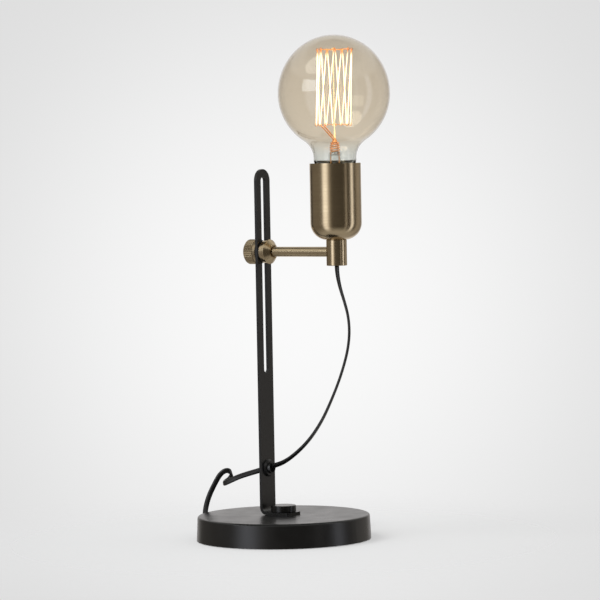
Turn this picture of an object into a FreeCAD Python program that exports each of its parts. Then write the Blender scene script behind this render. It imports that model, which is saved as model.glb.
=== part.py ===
"""Bare bulb table lamp: weighted disc base, slotted upright, sliding clamp arm, cup holder and globe bulb.

Millimetres, +Z up. The origin is the centre of the base's underside, and the arm points along +X.
"""

import FreeCAD
import Part
import math
import os

V = FreeCAD.Vector
X_AXIS = V(1, 0, 0)
Y_AXIS = V(0, 1, 0)
Z_AXIS = V(0, 0, 1)
ORIGIN = V(0, 0, 0)

# Base
BASE_R = 75.5              # at the foot of the cover's drafted wall
BASE_TOP_R = 74.4
BASE_TOP = 21.5            # height of the top face
COVER_WALL = 1.5
COVER_EDGE_R = 1.8
COVER_LIFT = 0.6           # the cover's rim stays this far off the table
PAD_R = 71.0
PAD_T = 3.0
WEIGHT_R = 71.8
COUNTERBORE_R = 10.5
SCREW_R = 3.0
SCREW_HEAD_R = 5.5
SCREW_HEAD_T = 5.0
SCREW_WASHER_R = 9.0
SCREW_WASHER_T = 1.6
SCREW_WASHER_Z = 10.0      # underside of the counterbore's floor
HOLE_CLEARANCE = 0.3

# Upright bar
BAR_X = -16.6              # middle of the bar's thickness
BAR_W = 20.0
BAR_T = 2.5
BAR_TOP = 320.0
BEND_R = 6.5               # outside of the bend
FOOT_END = 11.5
FOOT_CORNER_R = 2.0
SLOT_W = 6.6
SLOT_BOTTOM = 144.0
CAP_R = 10.85
CAP_T = 5.8
CAP_EDGE = 0.5

# Cord bush in the bar
BUSH_Z = 61.5
BUSH_FLANGE_R = 7.6
BUSH_FLANGE_T = 2.2
BUSH_NOSE_R = 4.9
BUSH_NOSE_L = 4.6          # from the bar's face
BUSH_GROOVE_R = 5.2
BUSH_WAIST_R = 2.0         # the bore opens like a bell both ways, because the flex slopes through it
BUSH_MOUTH_R = 3.85

# Clamp and arm, along X at the arm's height
ARM_Z = 248.7
WASHER_R = 9.8
WASHER_T = 0.8
STUD_R = 3.0
KNOB_R = 10.75
KNOB_SHOULDER_R = 10.25
KNOB_SHOULDER_L = 3.0
KNOB_L = 12.5
KNOB_BORE_L = 10.0
KNOB_CHAMFER = 1.3
FLUTES = 40
FLUTE_DEPTH = 0.45
COLLAR_STEPS = ((3.2, 9.9), (0.6, 9.0), (1.6, 10.6))   # length and radius: ring, groove, flange
COLLAR_CONE_L = 4.0
COLLAR_NOSE_R = 6.1
COLLAR_RECESS_R = 5.2
COLLAR_RECESS_L = 1.2
STUD_IN_COLLAR = 5.0
ROD_R = 4.3
ROD_IN_POST = 4.0
POST_X = 60.0
POST_R = 8.8
POST_BOTTOM = 237.0
POST_BORE_R = 3.2
POST_BUSH_R = 4.0
POST_BUSH_L = 4.5

# Cup and lampholder
CUP_BOTTOM = 258.9
CUP_RIM = 324.0
CUP_R = 21.85
CUP_CORNER_R = 14.5
CUP_WALL = 1.2
NIPPLE_R = 5.0
NIPPLE_BORE_R = 3.6
NIPPLE_BOTTOM = 252.6
NIPPLE_TOP = 272.0
NUT_AF = 14.0
NUT_T = 3.0
HOLDER_R = 18.6
HOLDER_BOTTOM = 266.0
HOLDER_FLOOR = 283.0
HOLDER_TOP = 316.0
HOLDER_BORE_R = 14.2
HOLDER_NECK_R = 9.0
SHELL_BOTTOM = 287.0
SHELL_TOP = 313.5
SHELL_R = 14.2
SHELL_WALL = 0.5
TERMINAL_Y = 11.0
TERMINAL_SIZE = (5.0, 5.0, 7.0)
TERMINAL_Z = 269.0
TERMINAL_SCREW_R = 1.5
CONTACT_W = 5.0
CONTACT_T = 0.6

# Bulb
GLOBE_R = 47.7
GLOBE_Z = 383.0
BULB_TOP = 432.9
GLASS_T = 0.8
NECK_R = 18.2
NECK_SHOULDER_Z = 327.0
GLASS_FOOT_R = 12.7
GLASS_FOOT_Z = 312.0
CAP_TOP = 321.0
BULB_CAP_R = 13.1
BULB_CAP_WALL = 0.4
CAP_SHELL_BOTTOM = 299.0
INSULATOR_BOTTOM = 295.4
TIP_BOTTOM = 294.0
TIP_R = 4.8
MOUNT_TUBE_R = 5.4
MOUNT_TUBE_TOP = 334.0
MOUNT_PRESS_SIZE = (7.0, 3.6)
MOUNT_PRESS_Z = 345.0
MOUNT_ROD_R = 1.3
CAGE_BOTTOM = 356.7
CAGE_TOP = 420.4
CAGE_R = 14.8
CAGE_HOOKS = 7
FILAMENT_R = 0.35
WIRE_R = 0.3
LEADS_BEHIND = -2.0        # the lead wires pass the stem on the side the lamp is seen from

# Flex: 1.8 m beyond the bush, of which the coil takes the most
FLEX_R = 1.8
PARTING = 6                # the hanging flex is parted at this point of its route
HANG_ROUTE = (
    (60, 0, 240), (60, 0, 231), (62.5, 0, 219), (67, 0, 206.5), (70.8, 0, 194),
    (71.8, 0, 180), (69.8, 0, 166), (65.6, 0, 152.5), (59.8, 0, 138), (52, 0, 122),
    (42, 0, 104), (28.5, 0, 87), (13.5, 0, 74.3), (0.8, 0, 66.55), (-10.1, 0, 63.25),
)
BUSH_ROUTE = (
    (-10.1, 0, 63.25), (-18.5, 0, 60.71), (-27.5, 0, 58.0), (-37, 0, 55.4), (-47.5, 0, 52.2),
)
# The rest is laid away behind the base, given as (right, behind, height) from the side the lamp is seen from.
REAR_ANGLE = 35.0
CURL_ROUTE = (
    (-47.2, 32.6, 48), (-51.8, 36.5, 45.6), (-51.4, 43.5, 46), (-46.5, 46, 48.6), (-44.6, 42.5, 53),
    (-47.9, 39.2, 57.6), (-54.3, 40.2, 54.8), (-60, 42.8, 45), (-65.8, 46.5, 33), (-69.3, 52, 20),
    (-69, 60.5, 9), (-64.5, 72, 3.4), (-59.5, 85.5, 2.7), (-57, 99.5, 2.7), (-56, 112, 2.7),
    (-56, 122.4, 2.7),
)
COIL_CENTRE = (-15.0, 126.0)
COIL_R = 41.0
COIL_PITCH = 5.0
COIL_TURNS_IN = 4.0
COIL_TURNS_OUT = 3.75
COIL_LAYERS_Z = (2.7, 6.8)
TIE_W = 6.0
TIE_T = 0.7
TAIL_ROUTE = (
    (-11.4, 166, 6.8), (0, 166.2, 6.8), (12.5, 165.2, 4.6), (24.5, 162.8, 3), (35.5, 158.4, 3.2),
    (44.5, 151.5, 5.2), (50, 143.2, 6.85), (50, 134, 6.85),
)
PLUG_RIGHT = 50.0          # the plug lies beside the coil with its pins towards the base
PLUG_PIN_TIP = 66.0
PIN_R = 2.0
PIN_CORE_R = 1.5
PIN_L = 19.0
PIN_SLEEVE_L = 10.0
PIN_SPACING = 18.6
PLUG_W = 35.0
PLUG_REAR_W = 15.0
PLUG_L = 34.0
PLUG_STRAIGHT_L = 12.0
PLUG_T = 13.7
RELIEF_L = 22.0
RELIEF_RIBS = 5
RELIEF_BORE_L = 8.0        # how far the flex goes into the relief


def revolved(profile, base=ORIGIN, axis=Z_AXIS):
    """The solid of a closed profile of points turned once about an axis."""
    wire = Part.makePolygon([V(*p) for p in profile] + [V(*profile[0])])
    return Part.Face(wire).revolve(base, axis, 360)


def turned_x(profile):
    """A solid turned about the arm's axis from (x, radius) points."""
    points = [(x, 0, ARM_Z + r) for x, r in profile]
    return revolved(points, V(0, 0, ARM_Z), X_AXIS)


def rod(radius, start, end):
    """A cylinder from one point to another."""
    start = V(*start)
    run = V(*end) - start
    return Part.makeCylinder(radius, run.Length, start, run)


def tube(outer, inner, z0, z1, x=0.0):
    """A plain upright tube."""
    wall = Part.makeCylinder(outer, z1 - z0, V(x, 0, z0))
    return wall.cut(Part.makeCylinder(inner, z1 - z0 + 2, V(x, 0, z0 - 1)))


def arc(start, tangent, end):
    """The arc from start, leaving along tangent, to end; a straight line where the two agree."""
    chord = end - start
    along = V(chord).normalize()
    side = tangent - along * tangent.dot(along)
    if side.Length < 1e-6:
        return Part.LineSegment(start, end).toShape()
    half = math.acos(max(-1.0, min(1.0, tangent.dot(along)))) / 2
    middle = (start + end) * 0.5 + side.normalize() * (chord.Length / 2 * math.tan(half))
    return Part.Arc(start, middle, end).toShape()


def biarc(start, t0, end, t1):
    """Two tangent arcs that leave start along t0 and reach end along t1."""
    run = end - start
    total = t0 + t1
    a = 2 * (1 - t0.dot(t1))
    b = 2 * run.dot(total)
    reach = run.Length ** 2 / b if a < 1e-9 else (-b + math.sqrt(b * b + 4 * a * run.Length ** 2)) / (2 * a)
    joint = (start + t0 * reach + end - t1 * reach) * 0.5
    back = arc(end, t1 * -1.0, joint)
    return [arc(start, t0, joint), back.reversed()]


def rounded_route(points, name):
    """Straight runs joined by tangent arcs, each as large as its two runs allow."""
    points = [V(*p) for p in points]
    edges = []
    radii = []
    last = points[0]
    for before, corner, after in zip(points, points[1:], points[2:]):
        into = corner - before
        out = after - corner
        turn = into.getAngle(out)
        shorter = min(into.Length, out.Length)
        cut = 0.45 * shorter
        radii.append(cut / math.tan(turn / 2))
        begin = corner - V(into).normalize() * cut
        end = corner + V(out).normalize() * cut
        edges.append(Part.LineSegment(last, begin).toShape())
        edges.append(arc(begin, V(into).normalize(), end))
        last = end
    edges.append(Part.LineSegment(last, points[-1]).toShape())
    print(name, "radii", [round(r, 1) for r in radii], "length", round(sum(e.Length for e in edges), 1))
    return Part.Wire(edges)


def flex_tube(wire, radius=FLEX_R):
    """A round tube along a wire."""
    first = wire.Edges[0]
    start = first.valueAt(first.FirstParameter)
    heading = first.tangentAt(first.FirstParameter)
    ring = Part.Wire(Part.makeCircle(radius, start, heading))
    solid = Part.Wire(wire.Edges).makePipeShell([ring], True, False)
    expected = math.pi * radius ** 2 * wire.Length
    print("  tube volume over section times length", round(solid.Volume / expected, 4))
    return solid


# ---------------------------------------------------------------- base

def base_cover():
    """Spun steel cover: a drafted wall, a rounded top edge and a hole for the screw."""
    height = BASE_TOP - COVER_LIFT
    outer = Part.makeCone(BASE_R, BASE_TOP_R, height, V(0, 0, COVER_LIFT))
    top_edge = [e for e in outer.Edges if e.BoundBox.ZMin > BASE_TOP - 0.1]
    outer = outer.makeFillet(COVER_EDGE_R, top_edge)
    inside = (BASE_R - COVER_WALL, BASE_TOP_R - COVER_WALL, height - COVER_WALL)
    inner = Part.makeCone(*inside, V(0, 0, COVER_LIFT))
    hole = Part.makeCylinder(SCREW_R + HOLE_CLEARANCE, BASE_TOP + 1, V(0, 0, 0))
    return outer.cut(inner).cut(hole)


def base_weight():
    """Cast iron disc that fills the cover, counterbored from below for the screw's head."""
    top = BASE_TOP - COVER_WALL
    disc = Part.makeCylinder(WEIGHT_R, top - PAD_T, V(0, 0, PAD_T))
    disc = disc.makeChamfer(1.0, [e for e in disc.Edges if e.BoundBox.ZMin > top - 0.1])
    bore = Part.makeCylinder(SCREW_R + HOLE_CLEARANCE, top, V(0, 0, 0))
    recess = Part.makeCylinder(COUNTERBORE_R, SCREW_WASHER_Z, V(0, 0, 0))
    return disc.cut(bore).cut(recess)


def base_pad():
    """Foam pad under the weight, which also covers the screw's recess."""
    return Part.makeCylinder(PAD_R, PAD_T)


def base_screw():
    """Hexagon-socket screw that holds the bar's foot to the base."""
    washer_bottom = SCREW_WASHER_Z - SCREW_WASHER_T
    head = Part.makeCylinder(SCREW_HEAD_R, SCREW_HEAD_T, V(0, 0, washer_bottom - SCREW_HEAD_T))
    shank = Part.makeCylinder(SCREW_R, BASE_TOP + BAR_T + CAP_T - 2 - washer_bottom, V(0, 0, washer_bottom))
    across_corners = 5.0 / math.cos(math.pi / 6) / 2
    hexagon = Part.makePolygon([
        V(across_corners * math.cos(math.pi / 3 * k), across_corners * math.sin(math.pi / 3 * k), 0)
        for k in range(7)
    ])
    socket = Part.Face(hexagon).extrude(V(0, 0, 3))
    socket.translate(V(0, 0, washer_bottom - SCREW_HEAD_T))
    return head.fuse(shank).removeSplitter().cut(socket)


def base_screw_washer():
    """Plain washer between the screw's head and the weight."""
    return tube(SCREW_WASHER_R, SCREW_R + HOLE_CLEARANCE, SCREW_WASHER_Z - SCREW_WASHER_T, SCREW_WASHER_Z)


# ---------------------------------------------------------------- upright

def upright_bar():
    """Flat steel bar bent to an L, with a round top, a long slot, a bush hole and a foot on the base."""
    rear = BAR_X - BAR_T / 2
    front = BAR_X + BAR_T / 2
    inside_r = BEND_R - BAR_T
    corner = V(rear + BEND_R, 0, BASE_TOP + BEND_R)
    slope = math.cos(math.pi / 4)

    def at(x, z):
        return V(x, 0, z)

    outer_mid = at(corner.x - BEND_R * slope, corner.z - BEND_R * slope)
    inner_mid = at(corner.x - inside_r * slope, corner.z - inside_r * slope)
    section = Part.Wire([
        Part.LineSegment(at(rear, BAR_TOP), at(rear, corner.z)).toShape(),
        Part.Arc(at(rear, corner.z), outer_mid, at(corner.x, BASE_TOP)).toShape(),
        Part.LineSegment(at(corner.x, BASE_TOP), at(FOOT_END, BASE_TOP)).toShape(),
        Part.LineSegment(at(FOOT_END, BASE_TOP), at(FOOT_END, BASE_TOP + BAR_T)).toShape(),
        Part.LineSegment(at(FOOT_END, BASE_TOP + BAR_T), at(corner.x, BASE_TOP + BAR_T)).toShape(),
        Part.Arc(at(corner.x, BASE_TOP + BAR_T), inner_mid, at(front, corner.z)).toShape(),
        Part.LineSegment(at(front, corner.z), at(front, BAR_TOP)).toShape(),
        Part.LineSegment(at(front, BAR_TOP), at(rear, BAR_TOP)).toShape(),
    ])
    bar = Part.Face(section).extrude(V(0, BAR_W, 0))
    bar.translate(V(0, -BAR_W / 2, 0))
    upright_corners = [
        e for e in bar.Edges
        if e.BoundBox.ZMin > BAR_TOP - 0.1 and e.BoundBox.XLength > BAR_T - 0.1 and e.BoundBox.YLength < 0.1
    ]
    bar = bar.makeFillet(BAR_W / 2 - 0.01, upright_corners)
    foot_corners = [
        e for e in bar.Edges
        if e.BoundBox.XMin > FOOT_END - 0.1 and e.BoundBox.ZLength > BAR_T - 0.1 and e.BoundBox.YLength < 0.1
    ]
    bar = bar.makeFillet(FOOT_CORNER_R, foot_corners)
    radius = SLOT_W / 2
    low = SLOT_BOTTOM + radius
    high = BAR_TOP - BAR_W / 2
    slot = Part.makeBox(BAR_T + 2, SLOT_W, high - low, V(rear - 1, -radius, low))
    for z in (low, high):
        slot = slot.fuse(rod(radius, (rear - 1, 0, z), (front + 1, 0, z)))
    bush_hole = rod(BUSH_GROOVE_R, (rear - 1, 0, BUSH_Z), (front + 1, 0, BUSH_Z))
    screw_hole = Part.makeCylinder(SCREW_R + HOLE_CLEARANCE, 10, V(0, 0, BASE_TOP - 2))
    return bar.cut(slot.removeSplitter()).cut(bush_hole).cut(screw_hole)


def foot_cap_nut():
    """Flat round cap nut on the bar's foot."""
    bottom = BASE_TOP + BAR_T
    cap = Part.makeCylinder(CAP_R, CAP_T, V(0, 0, bottom))
    cap = cap.makeChamfer(CAP_EDGE, [e for e in cap.Edges if e.BoundBox.ZLength < 0.01])
    return cap.cut(Part.makeCylinder(SCREW_R, CAP_T - 1.5, V(0, 0, bottom)))


def cord_bush():
    """Rubber bush gripping the bar through its hole: flange and nose on each side, bell-mouthed bore."""
    front = BAR_X + BAR_T / 2
    rear = BAR_X - BAR_T / 2
    profile = [
        (BAR_X, BUSH_WAIST_R),
        (rear - BUSH_NOSE_L + 1, BUSH_MOUTH_R - 0.2),
        (rear - BUSH_NOSE_L + 1, BUSH_NOSE_R - 0.4),
        (rear - BUSH_FLANGE_T, BUSH_NOSE_R),
        (rear - BUSH_FLANGE_T, BUSH_FLANGE_R - 1.2),
        (rear - 0.7, BUSH_FLANGE_R),
        (rear, BUSH_FLANGE_R),
        (rear, BUSH_GROOVE_R),
        (front, BUSH_GROOVE_R),
        (front, BUSH_FLANGE_R),
        (front + 0.7, BUSH_FLANGE_R),
        (front + BUSH_FLANGE_T, BUSH_FLANGE_R - 1.2),
        (front + BUSH_FLANGE_T, BUSH_NOSE_R),
        (front + BUSH_NOSE_L, BUSH_NOSE_R - 0.4),
        (front + BUSH_NOSE_L, BUSH_MOUTH_R),
    ]
    bush = turned_x(profile)
    bush.translate(V(0, 0, BUSH_Z - ARM_Z))
    return bush


# ---------------------------------------------------------------- clamp

COLLAR_X = BAR_X + BAR_T / 2 + WASHER_T          # the collar's seat on the front washer
COLLAR_END = COLLAR_X + sum(length for length, _ in COLLAR_STEPS) + COLLAR_CONE_L
KNOB_X = BAR_X - BAR_T / 2 - WASHER_T            # the knob's face on the rear washer
ROD_START = COLLAR_X + STUD_IN_COLLAR + 0.5


def clamp_washer(x):
    """Thin washer between the bar and a clamp part."""
    inner = STUD_R + HOLE_CLEARANCE
    return turned_x([(x, inner), (x, WASHER_R), (x + WASHER_T, WASHER_R), (x + WASHER_T, inner)])


def clamp_collar():
    """Turned collar: ring, groove, flange and cone, recessed at its nose round the rod."""
    profile = [(COLLAR_X, STUD_R)]
    x = COLLAR_X
    for length, radius in COLLAR_STEPS:
        profile += [(x, radius), (x + length, radius)]
        x += length
    profile += [
        (COLLAR_END, COLLAR_NOSE_R),
        (COLLAR_END, COLLAR_RECESS_R),
        (COLLAR_END - COLLAR_RECESS_L, COLLAR_RECESS_R),
        (COLLAR_END - COLLAR_RECESS_L, ROD_R),
        (ROD_START, ROD_R),
        (ROD_START, STUD_R),
    ]
    return turned_x(profile)


def clamp_stud():
    """Threaded stud from the collar through the slot into the knob."""
    return rod(STUD_R, (KNOB_X - KNOB_BORE_L + 1, 0, ARM_Z), (COLLAR_X + STUD_IN_COLLAR, 0, ARM_Z))


def clamp_knob():
    """Thumb knob: plain shoulder, straight knurl of cut flutes, chamfered end and a blind bore."""
    end = KNOB_X - KNOB_L
    inner = STUD_R + 0.05
    blank = turned_x([
        (KNOB_X, inner), (KNOB_X, KNOB_SHOULDER_R), (KNOB_X - KNOB_SHOULDER_L, KNOB_SHOULDER_R),
        (KNOB_X - KNOB_SHOULDER_L, KNOB_R), (end + KNOB_CHAMFER, KNOB_R), (end, KNOB_R - KNOB_CHAMFER),
        (end, 0), (KNOB_X - KNOB_BORE_L, 0), (KNOB_X - KNOB_BORE_L, inner),
    ])
    step = math.pi / FLUTES
    outline = []
    for k in range(2 * FLUTES):
        radius = KNOB_R + 0.05 if k % 2 else KNOB_R - FLUTE_DEPTH
        outline.append(V(end - 1, radius * math.cos(k * step), ARM_Z + radius * math.sin(k * step)))
    gear = Part.Face(Part.makePolygon(outline + [outline[0]])).extrude(V(KNOB_L - KNOB_SHOULDER_L + 1, 0, 0))
    shoulder = rod(KNOB_R + 1, (KNOB_X - KNOB_SHOULDER_L, 0, ARM_Z), (KNOB_X + 1, 0, ARM_Z))
    return blank.common(gear.fuse(shoulder))


def arm_rod():
    """Round rod from the collar's socket into the post's."""
    end = POST_X - POST_R + ROD_IN_POST
    return rod(ROD_R, (ROD_START, 0, ARM_Z), (end, 0, ARM_Z))


def arm_post():
    """Short upright post under the cup: rod socket, wire bore, nipple thread and bush seat."""
    post = Part.makeCylinder(POST_R, CUP_BOTTOM - POST_BOTTOM, V(POST_X, 0, POST_BOTTOM))
    post = post.makeChamfer(0.3, [e for e in post.Edges if e.BoundBox.ZLength < 0.01])
    cuts = [
        Part.makeCylinder(POST_BORE_R, 30, V(POST_X, 0, POST_BOTTOM - 1)),
        Part.makeCylinder(POST_BUSH_R, POST_BUSH_L + 1, V(POST_X, 0, POST_BOTTOM - 1)),
        Part.makeCylinder(NIPPLE_R, 10, V(POST_X, 0, NIPPLE_BOTTOM)),
        rod(ROD_R, (0, 0, ARM_Z), (POST_X - POST_R + ROD_IN_POST, 0, ARM_Z)),
    ]
    for cut in cuts:
        post = post.cut(cut)
    return post


def post_bush():
    """Insulating bush where the flex enters the post."""
    return tube(POST_BUSH_R, FLEX_R + 0.1, POST_BOTTOM, POST_BOTTOM + POST_BUSH_L, POST_X)


# ---------------------------------------------------------------- cup and lampholder

def lamp_cup():
    """Drawn brass cup: straight wall, round bottom corner, hole for the nipple."""
    height = CUP_RIM - CUP_BOTTOM

    def form(radius, corner, bottom, top):
        body = Part.makeCylinder(radius, top - bottom, V(POST_X, 0, bottom))
        return body.makeFillet(corner, [e for e in body.Edges if e.BoundBox.ZMax < bottom + 0.1])

    outer = form(CUP_R, CUP_CORNER_R, CUP_BOTTOM, CUP_BOTTOM + height)
    inner = form(CUP_R - CUP_WALL, CUP_CORNER_R - CUP_WALL, CUP_BOTTOM + CUP_WALL, CUP_RIM + 5)
    hole = Part.makeCylinder(NIPPLE_R, 20, V(POST_X, 0, CUP_BOTTOM - 5))
    return outer.cut(inner).cut(hole)


def nipple():
    """Hollow threaded tube that joins post, cup and lampholder."""
    return tube(NIPPLE_R, NIPPLE_BORE_R, NIPPLE_BOTTOM, NIPPLE_TOP, POST_X)


def nipple_nut():
    """Thin hexagon nut that clamps the cup on the post."""
    z = CUP_BOTTOM + CUP_WALL
    corner = NUT_AF / 2 / math.cos(math.pi / 6)
    outline = [
        V(POST_X + corner * math.cos(math.pi / 3 * k), corner * math.sin(math.pi / 3 * k), z) for k in range(7)
    ]
    nut = Part.Face(Part.makePolygon(outline)).extrude(V(0, 0, NUT_T))
    return nut.cut(Part.makeCylinder(NIPPLE_R, NUT_T + 2, V(POST_X, 0, z - 1)))


def holder_body():
    """Moulded lampholder: threaded neck, terminal floor and the barrel round the screw shell."""
    barrel = Part.makeCylinder(HOLDER_R, HOLDER_TOP - HOLDER_BOTTOM - 3, V(POST_X, 0, HOLDER_BOTTOM + 3))
    cone = Part.makeCone(HOLDER_NECK_R, HOLDER_R, 3, V(POST_X, 0, HOLDER_BOTTOM))
    body = barrel.fuse(cone)
    cuts = [
        Part.makeCylinder(HOLDER_BORE_R, HOLDER_TOP, V(POST_X, 0, HOLDER_FLOOR)),
        Part.makeCylinder(NIPPLE_R, NIPPLE_TOP - HOLDER_BOTTOM + 1, V(POST_X, 0, HOLDER_BOTTOM - 1)),
        Part.makeCylinder(NIPPLE_BORE_R, 4, V(POST_X, 0, NIPPLE_TOP - 1)),
    ]
    length, width, height = TERMINAL_SIZE
    for side in (-1, 1):
        corner = V(POST_X - length / 2, side * TERMINAL_Y - width / 2, TERMINAL_Z)
        cuts.append(Part.makeBox(length, width, height, corner))
        start = (POST_X, side * (TERMINAL_Y - width / 2), TERMINAL_Z + 4.5)
        cuts.append(rod(1.3, (POST_X, 0, NIPPLE_TOP + 1.5), start))
        screw_start = (POST_X, side * (TERMINAL_Y + width / 2), TERMINAL_Z + 4.5)
        cuts.append(rod(2.8, screw_start, (POST_X, side * (HOLDER_R + 1), TERMINAL_Z + 4.5)))
    for cut in cuts:
        body = body.cut(cut)
    return body


def holder_screw_shell():
    """Brass screw shell of the lampholder, its thread left plain."""
    return tube(SHELL_R, SHELL_R - SHELL_WALL, SHELL_BOTTOM, SHELL_TOP, POST_X)


def centre_contact():
    """Spring tongue on the holder's floor, bent up under the bulb's tip."""
    low = HOLDER_FLOOR
    high = TIP_BOTTOM - 0.1
    half = CONTACT_W / 2
    outline = [
        (-9, low), (4, low), (4, low + CONTACT_T), (-6.5, low + CONTACT_T), (-3, high - CONTACT_T),
        (4, high - CONTACT_T), (4, high), (-3.4, high), (-7.4, low + CONTACT_T), (-9, low + CONTACT_T),
    ]
    points = [V(POST_X + x, -half, z) for x, z in outline]
    return Part.Face(Part.makePolygon(points + [points[0]])).extrude(V(0, CONTACT_W, 0))


def holder_terminals():
    """The two brass terminal blocks in the holder's floor."""
    length, width, height = TERMINAL_SIZE
    blocks = [
        Part.makeBox(length, width, height, V(POST_X - length / 2, side * TERMINAL_Y - width / 2, TERMINAL_Z))
        for side in (-1, 1)
    ]
    return Part.makeCompound(blocks)


def terminal_screws():
    """The two terminal screws, their heads at the holder's side."""
    screws = []
    for side in (-1, 1):
        face = side * (TERMINAL_Y + TERMINAL_SIZE[1] / 2)
        z = TERMINAL_Z + 4.5
        screws.append(rod(2.6, (POST_X, face, z), (POST_X, face + side * 2, z)))
    return Part.makeCompound(screws)


def feed_wires():
    """The flex's two cores, from the post bush up through the nipple to the terminals."""
    wires = []
    for side in (-1, 1):
        start = (POST_X, side * 1.3, POST_BOTTOM + POST_BUSH_L + 0.5)
        bend = (POST_X, side * 1.3, NIPPLE_TOP)
        wires.append(rod(0.9, start, bend))
    return Part.makeCompound(wires)


# ---------------------------------------------------------------- bulb

def bulb_profile(inset):
    """The glass outline from its foot to its crown, drawn in by inset."""
    globe = GLOBE_R - inset
    neck = NECK_R - inset
    foot = GLASS_FOOT_R - inset
    meet = math.radians(56.5)            # how far the neck has turned outwards where it meets the globe
    join = V(POST_X + globe * math.cos(meet), 0, GLOBE_Z - globe * math.sin(meet))
    blend = (join.x - POST_X - neck) / (1 - math.cos(meet))
    neck_top = V(POST_X + neck, 0, join.z - blend * math.sin(meet))
    neck_mid = V(POST_X + neck + blend * (1 - math.cos(meet / 2)), 0, neck_top.z + blend * math.sin(meet / 2))
    halfway = (math.pi / 2 - meet) / 2
    globe_mid = V(POST_X + globe * math.cos(halfway), 0, GLOBE_Z - globe * math.sin(halfway))
    equator = V(POST_X + globe, 0, GLOBE_Z)
    crown = V(POST_X, 0, BULB_TOP - inset)
    shoulder = V(POST_X + neck, 0, NECK_SHOULDER_Z + inset)
    foot_top = V(POST_X + foot, 0, CAP_TOP + 0.05 + inset)
    foot_low = V(POST_X + foot, 0, GLASS_FOOT_Z)
    radius = neck - foot
    shoulder_mid = V(POST_X + foot + radius * 0.72, 0, foot_top.z + (shoulder.z - foot_top.z) * 0.3)
    ellipse = Part.Ellipse(crown, equator, V(POST_X, 0, GLOBE_Z))
    quarter = Part.ArcOfEllipse(ellipse, 0, math.pi / 2).toShape()
    if min((v.Point - equator).Length for v in quarter.Vertexes) > 0.01:
        quarter = Part.ArcOfEllipse(ellipse, -math.pi / 2, 0).toShape()
    return [
        Part.LineSegment(foot_low, foot_top).toShape(),
        Part.Arc(foot_top, shoulder_mid, shoulder).toShape(),
        Part.LineSegment(shoulder, neck_top).toShape(),
        Part.Arc(neck_top, neck_mid, join).toShape(),
        Part.Arc(join, globe_mid, equator).toShape(),
        quarter,
    ]


def bulb_glass():
    """Blown globe of even wall with an elliptical crown and a round neck, open at its foot."""
    outer = bulb_profile(0)
    inner = bulb_profile(GLASS_T)
    foot_x = POST_X + GLASS_FOOT_R
    foot = Part.LineSegment(V(foot_x - GLASS_T, 0, GLASS_FOOT_Z), V(foot_x, 0, GLASS_FOOT_Z))
    crown = Part.LineSegment(V(POST_X, 0, BULB_TOP), V(POST_X, 0, BULB_TOP - GLASS_T))
    edges = Part.__sortEdges__(outer + inner + [foot.toShape(), crown.toShape()])
    return Part.Face(Part.Wire(edges)).revolve(V(POST_X, 0, 0), Z_AXIS, 360)


def bulb_cap():
    """Screw cap shell, its thread left plain, drawn in at the bottom over the insulator."""
    wall = BULB_CAP_WALL
    profile = [
        (BULB_CAP_R, CAP_TOP), (BULB_CAP_R, CAP_SHELL_BOTTOM), (BULB_CAP_R - 1.5, CAP_SHELL_BOTTOM - 1.2),
        (BULB_CAP_R - 1.5 - wall, CAP_SHELL_BOTTOM - 1.2), (BULB_CAP_R - wall, CAP_SHELL_BOTTOM),
        (BULB_CAP_R - wall, CAP_TOP),
    ]
    return revolved([(POST_X + r, 0, z) for r, z in profile], V(POST_X, 0, 0))


def cap_insulator():
    """Black glass disc between the cap's shell and its tip contact."""
    bottom = INSULATOR_BOTTOM
    shell_in = BULB_CAP_R - 1.5 - BULB_CAP_WALL
    profile = [
        (0, bottom), (TIP_R + 0.6, bottom), (shell_in, CAP_SHELL_BOTTOM - 1.2),
        (BULB_CAP_R - BULB_CAP_WALL, CAP_SHELL_BOTTOM), (BULB_CAP_R - BULB_CAP_WALL, CAP_SHELL_BOTTOM + 1.0),
        (0, CAP_SHELL_BOTTOM + 1.0),
    ]
    return revolved([(POST_X + r, 0, z) for r, z in profile], V(POST_X, 0, 0))


def cap_tip():
    """Solder contact at the cap's end."""
    tip = Part.makeCylinder(TIP_R, INSULATOR_BOTTOM - TIP_BOTTOM, V(POST_X, 0, TIP_BOTTOM))
    return tip.makeFillet(0.6, [e for e in tip.Edges if e.BoundBox.ZMax < TIP_BOTTOM + 0.1])


def bulb_mount():
    """Glass mount inside the neck: flared tube, flattened press and the rod up the cage."""
    foot = GLASS_FOOT_R - GLASS_T - 0.02
    flare = revolved(
        [(POST_X + r, 0, z) for r, z in (
            (0, 315), (foot, 315), (foot, 317), (MOUNT_TUBE_R, 323), (MOUNT_TUBE_R, MOUNT_TUBE_TOP),
            (0, MOUNT_TUBE_TOP),
        )],
        V(POST_X, 0, 0),
    )
    length, width = MOUNT_PRESS_SIZE
    low = MOUNT_TUBE_TOP - 1
    press = Part.makeBox(length, width, MOUNT_PRESS_Z - low, V(POST_X - length / 2, -width / 2, low))
    press = press.makeFillet(1.5, [e for e in press.Edges if e.BoundBox.ZLength > 5])
    stem = Part.makeCylinder(MOUNT_ROD_R, CAGE_TOP + 1 - MOUNT_PRESS_Z + 1, V(POST_X, 0, MOUNT_PRESS_Z - 1))
    mount = flare.fuse(press).fuse(stem)
    for z in (CAGE_BOTTOM, CAGE_TOP):
        mount = mount.fuse(Part.makeSphere(2.1, V(POST_X, 0, z)))
    return mount


def cage_point(index, top):
    """Where a hook holds the filament: top hooks stand half a step round from the bottom ones."""
    angle = 2 * math.pi * (index + (0.5 if top else 0.0)) / CAGE_HOOKS
    z = CAGE_TOP if top else CAGE_BOTTOM
    return V(POST_X + CAGE_R * math.cos(angle), CAGE_R * math.sin(angle), z)


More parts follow.
